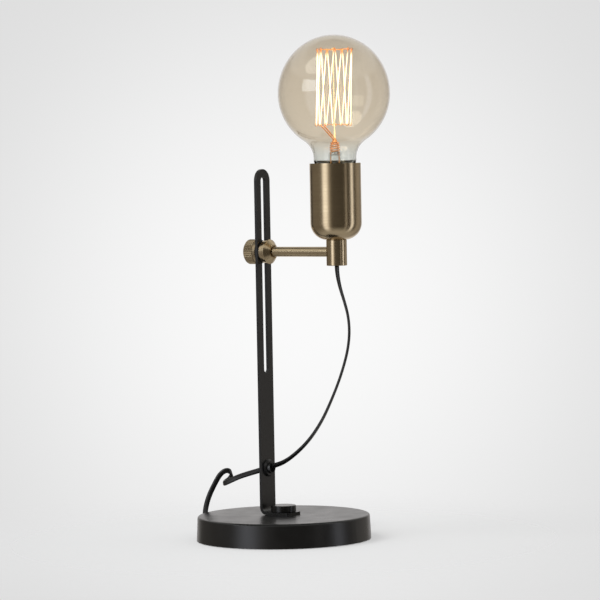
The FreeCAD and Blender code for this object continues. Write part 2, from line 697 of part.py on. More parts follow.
def filament():
    """Squirrel-cage filament: one wire that zigzags between the bottom and top hooks."""
    corners = []
    for k in range(CAGE_HOOKS):
        corners += [cage_point(k, False), cage_point(k, True)]
    shape = None
    for start, end in zip(corners, corners[1:]):
        strand = rod(FILAMENT_R, start, end).fuse(Part.makeSphere(FILAMENT_R * 1.02, end))
        shape = strand if shape is None else shape.fuse(strand)
    return shape


def support_wires():
    """Radial wires from the mount's two glass beads out to the filament's hooks."""
    wires = []
    for top in (False, True):
        for k in range(CAGE_HOOKS):
            tip = cage_point(k, top)
            centre = V(POST_X, 0, tip.z)
            outward = V(tip - centre).normalize()
            wires.append(rod(WIRE_R, centre + outward * 2.2, centre + outward * (CAGE_R - FILAMENT_R - 0.1)))
    return Part.makeCompound(wires)


def lead_wires():
    """The two lead wires from the press up to the cage's lower hooks."""
    wires = []
    for side in (-1, 1):
        foot = laid(1.2 + side * 1.2, LEADS_BEHIND, MOUNT_PRESS_Z + WIRE_R)
        tip = laid(side * 1.2 - 0.72 * CAGE_R, LEADS_BEHIND, CAGE_BOTTOM - 1.2)
        wires.append(rod(WIRE_R, foot + V(POST_X, 0, 0), tip + V(POST_X, 0, 0)))
    return Part.makeCompound(wires)


# ---------------------------------------------------------------- flex, coil and plug

def laid(right, behind, height):
    """A point behind the lamp, from (right, behind, height) as the lamp is seen."""
    angle = math.radians(REAR_ANGLE)
    return V(
        right * math.cos(angle) - behind * math.sin(angle),
        right * math.sin(angle) + behind * math.cos(angle),
        height,
    )


def laid_shape(shape):
    """Turns a shape modelled as (right, behind, height) into the lamp's own axes."""
    return shape.rotated(ORIGIN, Z_AXIS, REAR_ANGLE)


def hanging_wire():
    """The flex's route from the post down to the bush in the bar."""
    return rounded_route(HANG_ROUTE, "hanging flex")


def split_route(wire):
    """The hanging route parted at the middle of one of its straight runs."""
    edges = wire.Edges
    cut = 2 * PARTING
    run = edges[cut]
    middle = (run.Vertexes[0].Point + run.Vertexes[-1].Point) * 0.5
    upper = edges[:cut] + [Part.LineSegment(run.Vertexes[0].Point, middle).toShape()]
    lower = [Part.LineSegment(middle, run.Vertexes[-1].Point).toShape()] + edges[cut + 1:]
    print("flex parted at", [round(c, 2) for c in middle])
    return Part.Wire(upper), Part.Wire(lower)


def flex_hang_top():
    """Hanging flex from the post to the parting, which slides with the arm."""
    return flex_tube(split_route(hanging_wire())[0])


def flex_hang_low():
    """Hanging flex from the parting to the bush."""
    return flex_tube(split_route(hanging_wire())[1])


def flex_rear():
    """Flex through the bush, round its curl and down behind the base to the coil."""
    route = list(BUSH_ROUTE) + [tuple(laid(*p)) for p in CURL_ROUTE]
    return flex_tube(rounded_route(route, "rear flex"))


def coil_knots():
    """Place and heading at each quarter turn: in on the lower layer, up in a half turn, out on the upper."""
    rate = COIL_PITCH / (2 * math.pi)
    low, high = COIL_LAYERS_Z
    inner = COIL_R - COIL_PITCH * COIL_TURNS_IN
    rows = []
    quarters_in = round(4 * COIL_TURNS_IN)
    for k in range(quarters_in + 1):
        rows.append((k, COIL_R - COIL_PITCH * k / 4, low, -rate, 0.0))
    rows.append((quarters_in + 1, inner, (low + high) / 2, 0.0, (high - low) / (math.pi / 2)))
    for k in range(round(4 * COIL_TURNS_OUT) + 1):
        rows.append((quarters_in + 2 + k, inner + COIL_PITCH * k / 4, high, rate, 0.0))
    knots = []
    for k, radius, height, out_rate, climb in rows:
        angle = math.pi - k * math.pi / 2
        outward = (math.cos(angle), math.sin(angle))
        onward = (math.sin(angle), -math.cos(angle))
        ahead = [radius * along + out_rate * out for along, out in zip(onward, outward)]
        place = laid(*[c + radius * out for c, out in zip(COIL_CENTRE, outward)], height)
        heading = laid(*ahead, climb)
        knots.append((place, heading.normalize()))
    return knots


def least_gap(points, skip):
    """The least distance between points of a line that are at least skip places apart."""
    cells = {}
    size = 4 * FLEX_R
    best = 1e9
    for i, p in enumerate(points):
        key = (int(p.x // size), int(p.y // size), int(p.z // size))
        for dx in (-1, 0, 1):
            for dy in (-1, 0, 1):
                for dz in (-1, 0, 1):
                    for j in cells.get((key[0] + dx, key[1] + dy, key[2] + dz), ()):
                        if i - j > skip:
                            best = min(best, p.distanceToPoint(points[j]))
        cells.setdefault(key, []).append(i)
    return best


def flex_coil():
    """The put-away flex: one unbroken tube, two layers of turns, straight for a diameter at each end."""
    knots = coil_knots()
    straight = 2 * FLEX_R
    first, heading = knots[0]
    last, leaving = knots[-1]
    edges = [Part.LineSegment(first - heading * straight, first).toShape()]
    for (start, t0), (end, t1) in zip(knots, knots[1:]):
        edges += biarc(start, t0, end, t1)
    edges.append(Part.LineSegment(last, last + leaving * straight).toShape())
    wire = Part.Wire(Part.__sortEdges__(edges))
    points = wire.discretize(Distance=0.5)
    gap = least_gap(points, 40) - 2 * FLEX_R
    print("coil length", round(wire.Length, 1), "least gap to itself", round(gap, 2))
    print("coil end", [round(c, 2) for c in last + leaving * straight])
    return flex_tube(wire)


def flex_tail():
    """Flex from the coil to the plug."""
    return flex_tube(rounded_route([tuple(laid(*p)) for p in TAIL_ROUTE], "tail flex"))


def coil_tie():
    """Flat band round the coil's turns on the side near the base."""
    inner = COIL_R - COIL_PITCH * COIL_TURNS_IN - FLEX_R - 0.3
    outer = COIL_R + FLEX_R + 0.6
    low = COIL_LAYERS_Z[0] - FLEX_R - 0.1
    high = COIL_LAYERS_Z[1] + FLEX_R + 0.1
    side, near = COIL_CENTRE[0] - TIE_W / 2, COIL_CENTRE[1]
    size = (TIE_W, outer - inner + 2 * TIE_T, high - low + 2 * TIE_T)
    band = Part.makeBox(*size, V(side, near - outer - TIE_T, low - TIE_T))
    band = band.makeFillet(TIE_T, [e for e in band.Edges if e.BoundBox.XLength > TIE_W - 0.1])
    window = Part.makeBox(TIE_W + 2, outer - inner, high - low, V(side - 1, near - outer, low))
    return laid_shape(band.cut(window))


def plug_axis(across, along, height=PLUG_T / 2):
    """A point on the plug: across its width, and along it from the tips of its pins."""
    return V(PLUG_RIGHT + across, PLUG_PIN_TIP + along, height)


def plug_body():
    """Flat moulded plug body, straight by its face and drawn in to the strain relief."""
    wide, narrow = PLUG_W / 2, PLUG_REAR_W / 2
    outline = [
        (-wide, PIN_L), (wide, PIN_L), (wide, PIN_L + PLUG_STRAIGHT_L), (narrow, PIN_L + PLUG_L),
        (-narrow, PIN_L + PLUG_L), (-wide, PIN_L + PLUG_STRAIGHT_L),
    ]
    points = [plug_axis(across, along, 0) for across, along in outline]
    body = Part.Face(Part.makePolygon(points + [points[0]])).extrude(V(0, 0, PLUG_T))
    body = body.makeFillet(4.0, [e for e in body.Edges if e.BoundBox.ZLength > 1])
    body = body.makeFillet(2.2, [e for e in body.Edges if e.BoundBox.ZLength < 0.01])
    return laid_shape(body)


def plug_pins():
    """The two round pins, thinner inside their sleeves, with rounded tips."""
    pins = []
    for side in (-1, 1):
        tip = plug_axis(side * PIN_SPACING / 2, 0)
        shoulder = plug_axis(side * PIN_SPACING / 2, PIN_L - PIN_SLEEVE_L)
        face = plug_axis(side * PIN_SPACING / 2, PIN_L)
        pin = rod(PIN_R, tip, shoulder)
        pin = pin.makeFillet(1.2, [e for e in pin.Edges if e.BoundBox.YMax < tip.y + 0.1])
        pins.append(laid_shape(pin.fuse(rod(PIN_CORE_R, shoulder, face))))
    return Part.makeCompound(pins)


def pin_sleeves():
    """Insulating sleeves on the pins next to the plug's face."""
    sleeves = []
    for side in (-1, 1):
        shoulder = plug_axis(side * PIN_SPACING / 2, PIN_L - PIN_SLEEVE_L)
        face = plug_axis(side * PIN_SPACING / 2, PIN_L)
        sleeves.append(laid_shape(rod(PIN_R, shoulder, face).cut(rod(PIN_CORE_R, shoulder, face))))
    return Part.makeCompound(sleeves)


def plug_relief():
    """Tapered, ribbed strain relief behind the plug."""
    start = PIN_L + PLUG_L
    profile = [(0, 0), (0, 5.6)]
    step = RELIEF_L / RELIEF_RIBS
    for k in range(RELIEF_RIBS):
        radius = 5.6 - 2.4 * k / RELIEF_RIBS
        profile += [(k * step + 2.6, radius - 0.3), (k * step + 2.6, radius - 1.3)]
        profile.append(((k + 1) * step, radius - 1.4))
        if k + 1 < RELIEF_RIBS:
            profile.append(((k + 1) * step, radius - 0.5))
    bore = FLEX_R + 0.25
    profile += [(RELIEF_L, bore), (RELIEF_L - RELIEF_BORE_L, bore), (RELIEF_L - RELIEF_BORE_L, 0)]
    centre = plug_axis(0, start)
    points = [V(centre.x, centre.y + along, centre.z + r) for along, r in profile]
    face = Part.Face(Part.makePolygon(points + [points[0]]))
    return laid_shape(face.revolve(centre, Y_AXIS, 360))


NODES = {
    "base_cover": base_cover, "base_weight": base_weight, "base_pad": base_pad, "base_screw": base_screw,
    "base_screw_washer": base_screw_washer, "upright_bar": upright_bar, "foot_cap_nut": foot_cap_nut,
    "cord_bush": cord_bush, "front_washer": lambda: clamp_washer(BAR_X + BAR_T / 2),
    "rear_washer": lambda: clamp_washer(KNOB_X), "clamp_collar": clamp_collar, "clamp_stud": clamp_stud,
    "clamp_knob": clamp_knob, "arm_rod": arm_rod, "arm_post": arm_post, "post_bush": post_bush,
    "lamp_cup": lamp_cup, "nipple": nipple, "nipple_nut": nipple_nut, "holder_body": holder_body,
    "holder_screw_shell": holder_screw_shell, "centre_contact": centre_contact,
    "holder_terminals": holder_terminals, "terminal_screws": terminal_screws, "feed_wires": feed_wires,
    "bulb_glass": bulb_glass, "bulb_cap": bulb_cap, "cap_insulator": cap_insulator, "cap_tip": cap_tip,
    "bulb_mount": bulb_mount, "filament": filament, "support_wires": support_wires, "lead_wires": lead_wires,
    "flex_hang_top": flex_hang_top, "flex_hang_low": flex_hang_low, "flex_rear": flex_rear,
    "flex_coil": flex_coil, "flex_tail": flex_tail, "coil_tie": coil_tie, "plug_body": plug_body,
    "plug_pins": plug_pins, "pin_sleeves": pin_sleeves, "plug_relief": plug_relief,
}

if __name__ == "__main__":
    os.makedirs("parts", exist_ok=True)
    for name, make in NODES.items():
        shape = make()
        shape.exportStep("parts/" + name + ".step")
        print(name, "volume", round(shape.Volume, 2), "solids", len(shape.Solids), "valid", shape.isValid())
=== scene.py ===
"""Bare bulb table lamp: the finishes, the glass, the glowing filament and the flex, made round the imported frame.

Metres, +Z up. The origin is the centre of the base's underside, and the arm points along +X.
"""

import math

import bmesh
import bpy
import numpy as np
from mathutils import Matrix, Vector


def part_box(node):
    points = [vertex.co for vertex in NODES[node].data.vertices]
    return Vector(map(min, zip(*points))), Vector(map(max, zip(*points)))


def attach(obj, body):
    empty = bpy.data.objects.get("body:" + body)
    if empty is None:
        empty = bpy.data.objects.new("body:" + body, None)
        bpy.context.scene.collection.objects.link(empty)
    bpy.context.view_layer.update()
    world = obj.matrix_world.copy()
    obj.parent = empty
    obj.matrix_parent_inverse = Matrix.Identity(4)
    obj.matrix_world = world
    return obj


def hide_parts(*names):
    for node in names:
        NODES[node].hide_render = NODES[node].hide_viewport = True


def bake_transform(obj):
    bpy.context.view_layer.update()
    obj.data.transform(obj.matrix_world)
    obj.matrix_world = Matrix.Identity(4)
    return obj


bl_info = {
    "name": "Bare bulb table lamp",
    "version": (1, 0, 0),
    "blender": (4, 5, 0),
    "location": "View3D > Sidebar > Table lamp",
    "description": "Dresses the frame of a table lamp with a slotted upright, a clamp arm and a globe bulb",
    "category": "Object",
}

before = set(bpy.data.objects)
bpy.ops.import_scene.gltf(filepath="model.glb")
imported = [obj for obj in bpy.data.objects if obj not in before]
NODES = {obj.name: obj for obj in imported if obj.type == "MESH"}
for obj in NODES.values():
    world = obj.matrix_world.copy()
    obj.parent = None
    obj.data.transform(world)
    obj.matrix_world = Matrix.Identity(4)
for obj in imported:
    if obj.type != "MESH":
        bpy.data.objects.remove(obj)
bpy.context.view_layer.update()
GLASS_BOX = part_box("bulb_glass")
CUP_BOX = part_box("lamp_cup")
POST_X = (CUP_BOX[0][0] + CUP_BOX[1][0]) / 2

# The flex's route from the lamp's post to its plug. The hanging part is parted where the arm's side ends.
HANG_ROUTE = (
    (0.060, 0, 0.2375), (0.060, 0, 0.231), (0.0625, 0, 0.219), (0.067, 0, 0.2065), (0.0708, 0, 0.194),
    (0.0718, 0, 0.180), (0.0698, 0, 0.166), (0.0656, 0, 0.1525), (0.0598, 0, 0.138), (0.052, 0, 0.122),
    (0.042, 0, 0.104), (0.0285, 0, 0.087), (0.0135, 0, 0.0743), (0.0008, 0, 0.06655), (-0.0101, 0, 0.06325),
    (-0.0185, 0, 0.06071), (-0.0275, 0, 0.058), (-0.037, 0, 0.0554), (-0.0475, 0, 0.0522),
)
PARTING_Z = 0.15925
# Behind the base the route is given as (right, behind, height) from the side the lamp is seen from.
REAR_ANGLE = math.radians(35.0)
RIGHT = (math.cos(REAR_ANGLE), math.sin(REAR_ANGLE), 0.0)
TOWARD = (math.sin(REAR_ANGLE), -math.cos(REAR_ANGLE), 0.0)
CURL_ROUTE = (
    (-0.0472, 0.0326, 0.048), (-0.0518, 0.0365, 0.0456), (-0.0514, 0.0435, 0.046), (-0.0465, 0.046, 0.0486),
    (-0.0446, 0.0425, 0.053), (-0.0479, 0.0392, 0.0576), (-0.0543, 0.0402, 0.0548), (-0.060, 0.0428, 0.045),
    (-0.0658, 0.0465, 0.033), (-0.0693, 0.052, 0.020), (-0.069, 0.0605, 0.0085), (-0.0645, 0.072, 0.0022),
    (-0.0595, 0.0855, 0.0014), (-0.057, 0.0995, 0.0014), (-0.056, 0.112, 0.0014),
)
COIL_CENTRE = (-0.015, 0.126)
COIL_RADIUS = 0.041
TURNS_IN, TURNS_OUT = 4.0, 3.75
TAIL_ROUTE = (
    (0.000, 0.1662, 0.0041), (0.0125, 0.1652, 0.0028), (0.0245, 0.1628, 0.0020), (0.0355, 0.1584, 0.0026),
    (0.0445, 0.1515, 0.0048), (0.050, 0.1432, 0.00685), (0.050, 0.134, 0.00685),
)

GLOW_HEIGHTS = (0.3545, 0.4185)
TINT_FADE = (0.329, 0.349)

# What metal and gloss reflect: degrees to the right of the viewer, and how bright the studio is there.
STUDIO_LEVELS = (
    (-180, 0.90), (-158, 0.80), (-148, 0.30), (-138, 0.12), (-126, 0.22), (-100, 0.24), (-66, 0.22),
    (-57, 1.70), (-43, 1.70), (-32, 0.45), (-20, 0.12), (30, 0.09), (41, 0.09), (46, 0.75), (51, 0.09),
    (68, 0.10), (74, 1.70), (80, 1.70), (87, 0.10), (98, 0.14), (108, 0.45), (130, 0.40), (146, 0.25),
    (158, 0.80), (180, 0.90),
)
CEILING = (0.80, 0.79, 0.76, 1.0)
ZENITH = (0.20, 0.20, 0.19, 1.0)
BELOW = (0.50, 0.49, 0.47, 1.0)
EVEN_LIGHT = (0.62, 0.62, 0.62, 1.0)


class LampSizes(bpy.types.PropertyGroup):
    """Sizes of the pieces that are made here; the frame gives all others."""

    flex_width: bpy.props.FloatProperty(
        name="Flex width", description="Width of the flat two-core flex", default=0.0046, unit="LENGTH")
    flex_thickness: bpy.props.FloatProperty(
        name="Flex thickness", description="Thickness of the flat flex", default=0.0024, unit="LENGTH")
    coil_pitch: bpy.props.FloatProperty(
        name="Coil pitch", description="Distance from one turn of the coil to the next", default=0.005, unit="LENGTH")
    coil_layers: bpy.props.FloatVectorProperty(
        name="Coil layers", description="Heights of the coil's two layers", size=2, default=(0.0014, 0.0041),
        subtype="XYZ", unit="LENGTH")
    tie_width: bpy.props.FloatProperty(
        name="Tie width", description="Width of the band round the coil", default=0.006, unit="LENGTH")
    glass_thickness: bpy.props.FloatProperty(
        name="Glass thickness", description="Wall of the bulb's glass", default=0.0008, unit="LENGTH")
    neck_radius: bpy.props.FloatProperty(
        name="Neck radius", description="Outside of the bulb's neck", default=0.0182, unit="LENGTH")
    crown_height: bpy.props.FloatProperty(
        name="Crown height", description="From the globe's widest place to its top", default=0.0499, unit="LENGTH")
    filament_radius: bpy.props.FloatProperty(
        name="Filament radius", description="Radius of the glowing strands", default=0.00041, unit="LENGTH")
    cage_radius: bpy.props.FloatProperty(
        name="Cage radius", description="Radius of the ring of hooks", default=0.0148, unit="LENGTH")
    cage_heights: bpy.props.FloatVectorProperty(
        name="Cage heights", description="Heights of the two rings of hooks", size=2, default=(0.3567, 0.4204),
        subtype="XYZ", unit="LENGTH")
    cage_turn: bpy.props.FloatProperty(
        name="Cage turn", description="How far the lower hooks are turned round", default=math.radians(21.3),
        subtype="ANGLE")
    stem_top: bpy.props.FloatProperty(
        name="Stem top", description="Top of the glass tube in the neck", default=0.334, unit="LENGTH")
    cage_hooks: bpy.props.IntProperty(
        name="Hooks", description="Hooks in each of the two rings", default=7, min=3)


class LampColours(bpy.types.PropertyGroup):
    """Colours of the lamp's finishes."""

    coat: bpy.props.FloatVectorProperty(
        name="Powder coat", description="Base and upright", subtype="COLOR", size=3, default=(0.0055, 0.0052, 0.0050))
    brass: bpy.props.FloatVectorProperty(
        name="Antique brass", description="Cup, arm and clamp", subtype="COLOR", size=3, default=(0.56, 0.45, 0.29))
    brass_dark: bpy.props.FloatVectorProperty(
        name="Brass in recesses", description="Darker tone of the antiqued brass", subtype="COLOR", size=3,
        default=(0.42, 0.325, 0.205))
    amber: bpy.props.FloatVectorProperty(
        name="Amber glass", description="Tint of the globe", subtype="COLOR", size=3, default=(0.825, 0.762, 0.664))
    clear: bpy.props.FloatVectorProperty(
        name="Clear glass", description="Tint of the neck", subtype="COLOR", size=3, default=(0.83, 0.835, 0.80))
    glow: bpy.props.FloatVectorProperty(
        name="Filament glow", description="Colour of the lit filament", subtype="COLOR", size=3,
        default=(1.0, 0.80, 0.52))
    sheath: bpy.props.FloatVectorProperty(
        name="Flex sheath", description="Flex and plug", subtype="COLOR", size=3, default=(0.008, 0.008, 0.008))
    floor: bpy.props.FloatVectorProperty(
        name="Floor", description="Floor and backdrop", subtype="COLOR", size=3, default=(0.80, 0.80, 0.80))


# ---------------------------------------------------------------- surfaces

def put_mesh(name, points, faces, body=None):
    """Puts points and faces into a new piece with smooth faces that point outwards, its doubles merged."""
    mesh = bpy.data.meshes.new(name)
    mesh.from_pydata(points.tolist(), [], faces.tolist())
    cleaner = bmesh.new()
    cleaner.from_mesh(mesh)
    bmesh.ops.remove_doubles(cleaner, verts=cleaner.verts, dist=1e-7)
    bmesh.ops.dissolve_degenerate(cleaner, dist=1e-8, edges=cleaner.edges)
    bmesh.ops.recalc_face_normals(cleaner, faces=cleaner.faces)
    cleaner.to_mesh(mesh)
    cleaner.free()
    mesh.polygons.foreach_set("use_smooth", np.ones(len(mesh.polygons), bool))
    piece = bpy.data.objects.new(name, mesh)
    bpy.context.scene.collection.objects.link(piece)
    if body:
        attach(piece, body)
    return piece


def put_parts(name, parts, body):
    """Puts several (points, faces) into one new piece."""
    starts = np.cumsum([0] + [len(points) for points, _ in parts[:-1]])
    faces = np.concatenate([quads + start for (_, quads), start in zip(parts, starts)])
    return put_mesh(name, np.concatenate([points for points, _ in parts]), faces, body)


def grid_faces(rows, columns, close_rows=False, close_columns=True):
    """Quads of a grid: each joins (i, j), (i, j+1), (i+1, j+1) and (i+1, j), wrapping round where it is closed."""
    i = np.arange(rows if close_rows else rows - 1)[:, None]
    j = np.arange(columns if close_columns else columns - 1)[None, :]
    below, right = (i + 1) % rows, (j + 1) % columns
    quads = np.stack(np.broadcast_arrays(
        i * columns + j, i * columns + right, below * columns + right, below * columns + j), axis=-1)
    return quads.reshape(-1, 4)


def turned(name, profile, centre, axis, body, segments=128):
    """A profile of (radius, height) points turned about an axis.

    A point is centre + height·axis + radius·(cos a·u + sin a·v).
    """
    axis = np.array(axis, float)
    u = np.cross(axis, (0.0, 1.0, 0.0) if abs(axis[1]) < 0.9 else (1.0, 0.0, 0.0))
    u /= np.linalg.norm(u)
    v = np.cross(axis, u)
    angle = np.linspace(0, 2 * math.pi, segments, endpoint=False)
    round_it = np.cos(angle)[:, None] * u + np.sin(angle)[:, None] * v
    profile = np.array(profile, float)
    points = np.array(centre) + profile[:, 1, None, None] * axis + profile[:, 0, None, None] * round_it
    return put_mesh(name, points.reshape(-1, 3), grid_faces(len(profile), segments), body)


def frames_along(path, hint):
    """Tangent, side and normal at each point of a path: side is the hint made square to the tangent."""
    tangent = np.gradient(path, axis=0)
    tangent /= np.linalg.norm(tangent, axis=1)[:, None]
    side = hint - (hint * tangent).sum(axis=1)[:, None] * tangent
    side /= np.linalg.norm(side, axis=1)[:, None]
    return tangent, side, np.cross(tangent, side)


def swept(path, outline, hint):
    """An outline of (side, normal) offsets carried along a path, both ends closed on their middle point."""
    _, side, normal = frames_along(path, hint)
    rings = path[:, None] + outline[None, :, 0, None] * side[:, None] + outline[None, :, 1, None] * normal[:, None]
    first = np.repeat(path[:1], len(outline), axis=0)[None]
    last = np.repeat(path[-1:], len(outline), axis=0)[None]
    rings = np.concatenate([first, rings, last])
    return rings.reshape(-1, 3), grid_faces(len(rings), len(outline))


def round_outline(radius, sides=10):
    """A circle: radius·(cos a, sin a)."""
    angle = np.linspace(0, 2 * math.pi, sides, endpoint=False)
    return radius * np.column_stack([np.cos(angle), np.sin(angle)])


def flat_outline(width, thickness, sides=20):
    """A flat oval: half-width·sgn(cos a)·|cos a|^0.8 by half-thickness·sgn(sin a)·|sin a|^0.72."""
    angle = np.linspace(0, 2 * math.pi, sides, endpoint=False)
    across = np.sign(np.cos(angle)) * np.abs(np.cos(angle)) ** 0.8
    through = np.sign(np.sin(angle)) * np.abs(np.sin(angle)) ** 0.72
    return np.column_stack([width / 2 * across, thickness / 2 * through])


def spline_points(name, controls, fineness):
    """Points along the smooth NURBS line that has the controls as its control points."""
    curve = bpy.data.curves.new(name, "CURVE")
    curve.dimensions = "3D"
    curve.resolution_u = fineness
    line = curve.splines.new("NURBS")
    line.points.add(len(controls) - 1)
    line.points.foreach_set("co", np.column_stack([controls, np.ones(len(controls))]).ravel())
    line.order_u = 3
    line.use_endpoint_u = True
    holder = bpy.data.objects.new(name, curve)
    mesh = bpy.data.meshes.new_from_object(holder)
    points = np.empty(len(mesh.vertices) * 3)
    mesh.vertices.foreach_get("co", points)
    bpy.data.meshes.remove(mesh)
    bpy.data.objects.remove(holder)
    bpy.data.curves.remove(curve)
    points = points.reshape(-1, 3)
    apart = np.r_[True, np.linalg.norm(np.diff(points, axis=0), axis=1) > 1e-6]
    return points[apart]


def laid(points):
    """Turns (right, behind, height) points into the lamp's own axes."""
    points = np.array(points, float)
    c, s = math.cos(REAR_ANGLE), math.sin(REAR_ANGLE)
    return np.column_stack([points[:, 0] * c - points[:, 1] * s, points[:, 0] * s + points[:, 1] * c, points[:, 2]])


# ---------------------------------------------------------------- finishes

def group(name, inputs, outputs):
    """An empty shader node group with named inputs (name, kind, default) and outputs (name, kind)."""
    tree = bpy.data.node_groups.new(name, "ShaderNodeTree")
    for label, kind, default in inputs:
        socket = tree.interface.new_socket(name=label, in_out="INPUT", socket_type="NodeSocket" + kind)
        socket.default_value = default
    for label, kind in outputs:
        tree.interface.new_socket(name=label, in_out="OUTPUT", socket_type="NodeSocket" + kind)
    return tree, tree.nodes.new("NodeGroupInput"), tree.nodes.new("NodeGroupOutput")


def add(tree, kind, links=None, plain=None, **settings):
    """Adds a node, sets its properties and unlinked inputs, and links the given outputs to its inputs.

    The inputs in plain are named by their number, as on a Math or a Mix node.
    """
    node = tree.nodes.new("ShaderNode" + kind)
    for key, value in settings.items():
        if hasattr(node, key):
            setattr(node, key, value)
        else:
            node.inputs[key.replace("_", " ")].default_value = value
    for key, value in (plain or {}).items():
        node.inputs[key].default_value = value
    for key, output in (links or {}).items():
        tree.links.new(output, node.inputs[key])
    return node


def seen_rays(tree):
    """The light path, and 1 for what the camera sees straight or through glass."""
    ray = add(tree, "LightPath")
    return ray, add(tree, "Math", {0: ray.outputs["Is Camera Ray"], 1: ray.outputs["Is Transmission Ray"]},
                    operation="MAXIMUM")


def smooth_range(tree, value, start, end, **values):
    """A value mapped smoothly to 0 at the start and 1 at the end, or to other values."""
    return add(tree, "MapRange", {"Value": value}, interpolation_type="SMOOTHSTEP",
               From_Min=start, From_Max=end, **values)


def grain_group():
    """Fine pebbled grain of a coat or a moulding: two sizes of noise, as a height and a tone."""
    tree, inside, outside = group(
        "Fine grain", [("Scale", "Float", 900.0), ("Softness", "Float", 0.5)],
        [("Height", "Float"), ("Tone", "Float")])
    place = add(tree, "TexCoord")
    fine = add(tree, "TexNoise", {"Vector": place.outputs["Object"], "Scale": inside.outputs["Scale"],
                                  "Roughness": inside.outputs["Softness"]}, Detail=3.0)
    coarse_scale = add(tree, "Math", {0: inside.outputs["Scale"]}, {1: 0.04}, operation="MULTIPLY")
    coarse = add(tree, "TexNoise", {"Vector": place.outputs["Object"], "Scale": coarse_scale.outputs[0]}, Detail=4.0)
    tree.links.new(fine.outputs["Fac"], outside.inputs["Height"])
    tree.links.new(coarse.outputs["Fac"], outside.inputs["Tone"])
    return tree


def brush_group():
    """Brush lines and tarnish: noise drawn out along one direction as a height, and soft clouds as a tone."""
    tree, inside, outside = group(
        "Brushed lines", [("Stretch", "Vector", (40.0, 40.0, 3000.0)), ("Clouds", "Float", 45.0)],
        [("Height", "Float"), ("Tone", "Float")])
    place = add(tree, "TexCoord")
    drawn = add(tree, "VectorMath", {0: place.outputs["Object"], 1: inside.outputs["Stretch"]}, operation="MULTIPLY")
    lines = add(tree, "TexNoise", {"Vector": drawn.outputs[0]}, Scale=1.0, Detail=2.0)
    clouds = add(tree, "TexNoise", {"Vector": place.outputs["Object"], "Scale": inside.outputs["Clouds"]}, Detail=5.0)
    tree.links.new(lines.outputs["Fac"], outside.inputs["Height"])
    tree.links.new(clouds.outputs["Fac"], outside.inputs["Tone"])
    return tree


def dust_group():
    """Faint dust and rubbed patches: thresholded noise that is stronger on faces that look up."""
    tree, inside, outside = group(
        "Dust", [("Amount", "Float", 0.3), ("Scale", "Float", 60.0)], [("Mask", "Float")])
    place = add(tree, "TexCoord")
    noise = add(tree, "TexNoise", {"Vector": place.outputs["Object"], "Scale": inside.outputs["Scale"]},
                Detail=6.0, Roughness=0.65)
    spread = add(tree, "MapRange", {"Value": noise.outputs["Fac"]}, From_Min=0.5, From_Max=0.75)
    facing = add(tree, "NewGeometry")
    up = add(tree, "SeparateXYZ", {0: facing.outputs["Normal"]})
    lift = add(tree, "MapRange", {"Value": up.outputs["Z"]}, From_Min=-0.2, From_Max=1.0, To_Min=0.25, To_Max=1.0)
    both = add(tree, "Math", {0: spread.outputs[0], 1: lift.outputs[0]}, operation="MULTIPLY")
    scaled = add(tree, "Math", {0: both.outputs[0], 1: inside.outputs["Amount"]}, operation="MULTIPLY")
    tree.links.new(scaled.outputs[0], outside.inputs["Mask"])
    return tree


def place_group(tree, source, links=None, **values):
    """Places a node group in a material with its own values."""
    node = tree.nodes.new("ShaderNodeGroup")
    node.node_tree = source
    for key, value in values.items():
        node.inputs[key].default_value = value
    for key, output in (links or {}).items():
        tree.links.new(output, node.inputs[key])
    return node


def new_material(name, **values):
    """A material with one Principled shader whose plain sockets are set from the values."""
    material = bpy.data.materials.new(name)
    material.use_nodes = True
    shader = material.node_tree.nodes["Principled BSDF"]
    for key, value in values.items():
        socket = shader.inputs[key.replace("_", " ")]
        socket.default_value = (*value, 1.0) if socket.type == "RGBA" and len(value) == 3 else value
    return material, material.node_tree, shader


def tone_mix(tree, shader, tone, dark, light, low=0.3, high=0.7, socket="Base Color"):
    """Feeds a colour socket with two tones blended by a mask."""
    ramp = add(tree, "ValToRGB", {"Fac": tone})
    ramp.color_ramp.elements[0].position = low
    ramp.color_ramp.elements[0].color = (*dark, 1.0)
    ramp.color_ramp.elements[1].position = high
    ramp.color_ramp.elements[1].color = (*light, 1.0)
    tree.links.new(ramp.outputs[0], shader.inputs[socket])
    return ramp


def rough_mix(tree, shader, mask, low, high):
    """Feeds the roughness with a mask mapped between two values."""
    spread = add(tree, "MapRange", {"Value": mask}, From_Min=0.3, From_Max=0.7, To_Min=low, To_Max=high)
    tree.links.new(spread.outputs[0], shader.inputs["Roughness"])


def bump(tree, shader, height, strength, distance):
    """Bumps the shader's normal by a height."""
    node = add(tree, "Bump", {"Height": height}, Strength=strength, Distance=distance)
    tree.links.new(node.outputs[0], shader.inputs["Normal"])


def shade(colour, factor):
    """A colour made darker or lighter by a factor."""
    return tuple(min(1.0, c * factor) for c in colour)


def coat_material(name, colour, roughness, grain):
    """Satin powder coat: fine orange-peel bump, slight cloudiness in tone and gloss, faint dust on top faces."""
    material, tree, shader = new_material(name, IOR=1.5)
    fine = place_group(tree, GROUPS["grain"], Scale=grain)
    dust = place_group(tree, GROUPS["dust"], Amount=0.02, Scale=70.0)
    ramp = tone_mix(tree, shader, fine.outputs["Tone"], shade(colour, 0.85), shade(colour, 1.2))
    mix = add(tree, "Mix", {"Factor": dust.outputs["Mask"], 6: ramp.outputs[0]}, {7: (0.16, 0.155, 0.145, 1.0)},
              data_type="RGBA")
    tree.links.new(mix.outputs[2], shader.inputs["Base Color"])
    rough_mix(tree, shader, fine.outputs["Tone"], roughness - 0.03, roughness + 0.04)
    bump(tree, shader, fine.outputs["Height"], 0.12, 0.00003)
    return material


